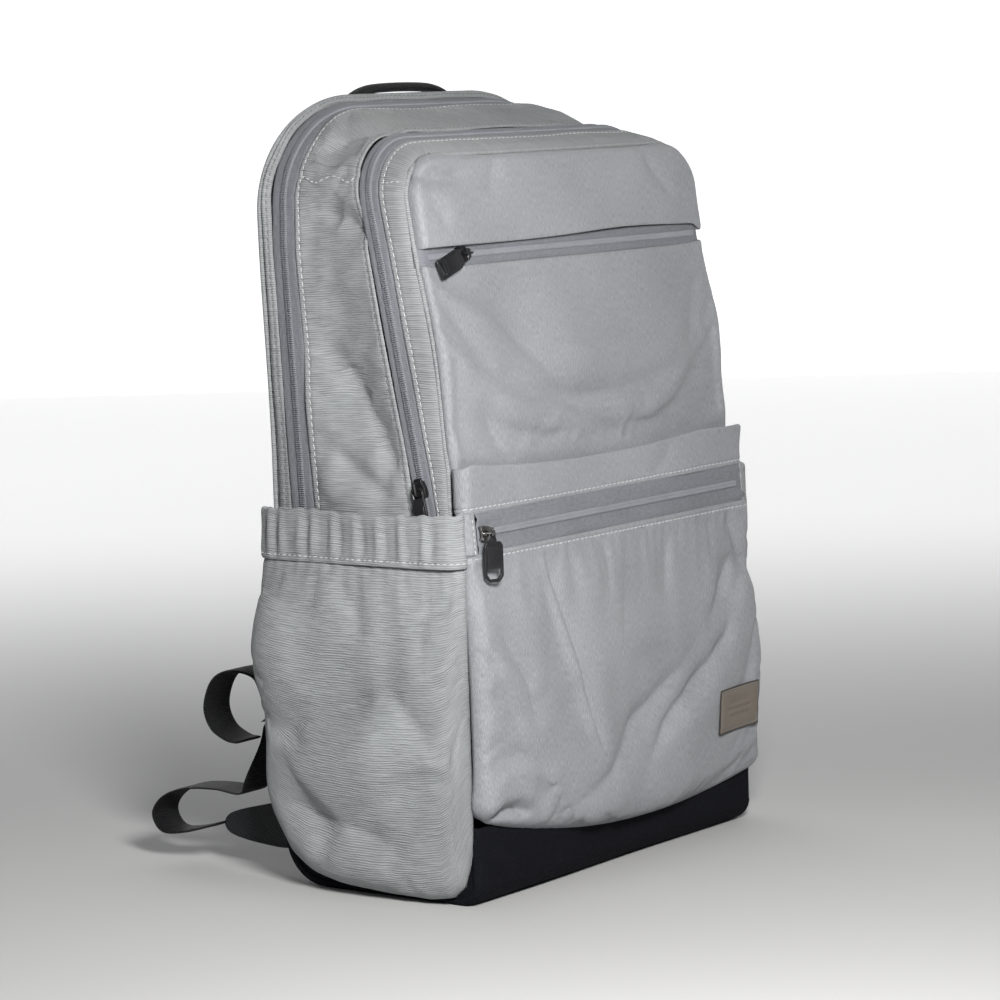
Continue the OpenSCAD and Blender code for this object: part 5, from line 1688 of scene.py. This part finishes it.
moulded("lower_slider_cast", slider_parts(), lower_place, "bright_slider", "lower_slider", ("lower_slider",))
moulded("lower_pull_cast", ring_pull_parts(12.5, 28.5), lower_place @ move(0, 0, 6.55) @ turn(LOWER_TILT, "X") @ turn(-22, "Y"), "zip_pull",
        "lower_pull", ("lower_pull",))

for side in (-1, 1):
    tag = "left" if side < 0 else "right"
    frame_loop = rounded_loop([(-17, -15), (17, -15), (17, 15), (-17, 15)], 3.5, 5)
    slots = [rounded_loop([(-13, z), (13, z), (13, z + 6), (-13, z + 6)], 1.2, 3) for z in (-8.5, 2.5)]
    body = plate([frame_loop, *slots], -3, 3, 1.0)
    grip = plate([rounded_loop([(-15, -14.6), (15, -14.6), (13, -11.2), (-13, -11.2)], 1.0, 3)], 2.2, 4.4, 0.6)
    flip = Matrix.Scale(-1, 4, (1, 0, 0)) if side > 0 else Matrix.Identity(4)
    moulded("ladder_lock_moulded_" + tag, [body, grip], flip @ move(-WEB_X + 20, 101, 98) @ turn(90, "X") @ Matrix.Scale(
        -1, 4, (0, 0, 1)), "buckle", "bag", ("ladder_lock_" + tag,))


# ---------------------------------------------------------------- handle
arch_pts = [(-50, 446.5), (-50, 450), (-48.6, 455.5), (-43, 461.5), (-30, 465.5), (-12, 466.6), (12, 466.6), (30, 465.5),
            (43, 461.5), (48.6, 455.5), (50, 450), (50, 446.5)]
arch = smooth_route([[x, z] for x, z in arch_pts], 2.0)
handle_y = 81.0
lift = ease((arch[:, 1] - 444) / 10)
arch3 = np.stack([arch[:, 0], handle_y - 5.0 * (1 - lift), arch[:, 1]], -1)
tube("handle_web", arch3, "webbing", 3.0, body="handle", sides=20, squash=(2.0, 0.95), frame_x=(0, 1, 0),
     replaces=("handle",))
for side in (-1, 1):
    tag = "left" if side < 0 else "right"
    loop = rounded_loop([(-8, -7), (8, -7), (8, 7.5), (-8, 7.5)], 1.5, 4)
    matrix = move(side * 50, BACK_Y + 1.4, 441) @ turn(90, "X")
    moulded("handle_tab_" + tag, [plate([loop], -1.2, 1.2, 0.7)], matrix, "webbing", "bag",
            ("handle_anchor",) if side < 0 else ())


# ---------------------------------------------------------------- label
lab_low, lab_high = box_mm("label_patch")
LAB_X, LAB_Z = (lab_low[0] + lab_high[0]) / 2, (lab_low[2] + lab_high[2]) / 2
LAB_W, LAB_H = (lab_high[0] - lab_low[0]) / 2, (lab_high[2] - lab_low[2]) / 2
lu = spread(2 * LAB_W, 0.7) - LAB_W
lv = spread(2 * LAB_H, 0.7) - LAB_H
luu, lvv = np.meshgrid(lu, lv)
lab_in = np.minimum(LAB_W - np.abs(luu), LAB_H - np.abs(lvv))
lab_h = 1.5 - 0.9 * np.exp(-lab_in / 0.5) - 0.35 * hump(lab_in, 2.2, 0.5)
for k in (-1, 0, 1):
    bar = (np.abs(luu) < 15 - 2.5 * abs(k)) * (np.abs(lvv - 4.4 * k) < 1.1)
    lab_h = lab_h - 0.45 * bar


def surface_depth(x, z):
    """Depth of the lower panel's cloth at a place on the front."""
    cols_at = np.interp(x, low_cols * POCKET_HALF, np.arange(len(low_cols)))
    j = int(np.clip(round(float(cols_at)), 0, len(low_cols) - 1))
    order = np.argsort(low_pts[:, j, 2])
    return float(np.interp(z, low_pts[order, j, 2], low_pts[order, j, 1]))


look_u, look_v = np.meshgrid(np.linspace(-LAB_W, LAB_W, 13), np.linspace(-LAB_H, LAB_H, 9))
look_y = np.array([surface_depth(LAB_X + u, LAB_Z + v) for u, v in zip(look_u.ravel(), look_v.ravel())])


def bent(u, v):
    return np.stack([1 + 0 * u, u, v, u * u], -1)


weights = np.linalg.lstsq(bent(look_u.ravel(), look_v.ravel()), look_y, rcond=None)[0]
proud = np.max(bent(look_u.ravel(), look_v.ravel()) @ weights - look_y)
lab_y = bent(luu, lvv) @ weights - min(proud, 2.0) + 0.4
lab_grid = np.stack([luu + LAB_X, lab_y - lab_h + 0.2, lvv + LAB_Z], -1)
_, lab_pts, lab_n = panel("label_leather", lab_grid, "label", ("label_patch",), thick=1.2, outward=FRONT_OUT)
rim = [(-1, -1), (1, -1), (1, 1), (-1, 1), (-1, -1)]
border = []
for (a, b), (c, d) in zip(rim, rim[1:]):
    for t in np.linspace(0, 1, 16, endpoint=False):
        u, v = (a + (c - a) * t) * (LAB_W - 2.2), (b + (d - b) * t) * (LAB_H - 2.2)
        i = int(np.argmin(np.abs(lv - v)))
        j = int(np.argmin(np.abs(lu - u)))
        border.append(lab_pts[i, j])
border = np.array(border + border[:1])
stitches("label_stitch", border, np.tile(np.array([[0, -1.0, 0.02]]), (len(border), 1)), "label", DARK_THREAD, length=1.6,
         pitch=2.4, width=0.45, height=0.4)
outer = []
for (a, b), (c, d) in zip(rim, rim[1:]):
    for t in np.linspace(0, 1, 20, endpoint=False):
        i = int(np.argmin(np.abs(lv - (b + (d - b) * t) * LAB_H)))
        j = int(np.argmin(np.abs(lu - (a + (c - a) * t) * LAB_W)))
        outer.append(lab_pts[i, j])
outer = np.array(outer + outer[:1])
tube("label_edge", outer, "label", 0.55, sides=6, mat=EDGE_INK, frame_x=(0, 1, 0))
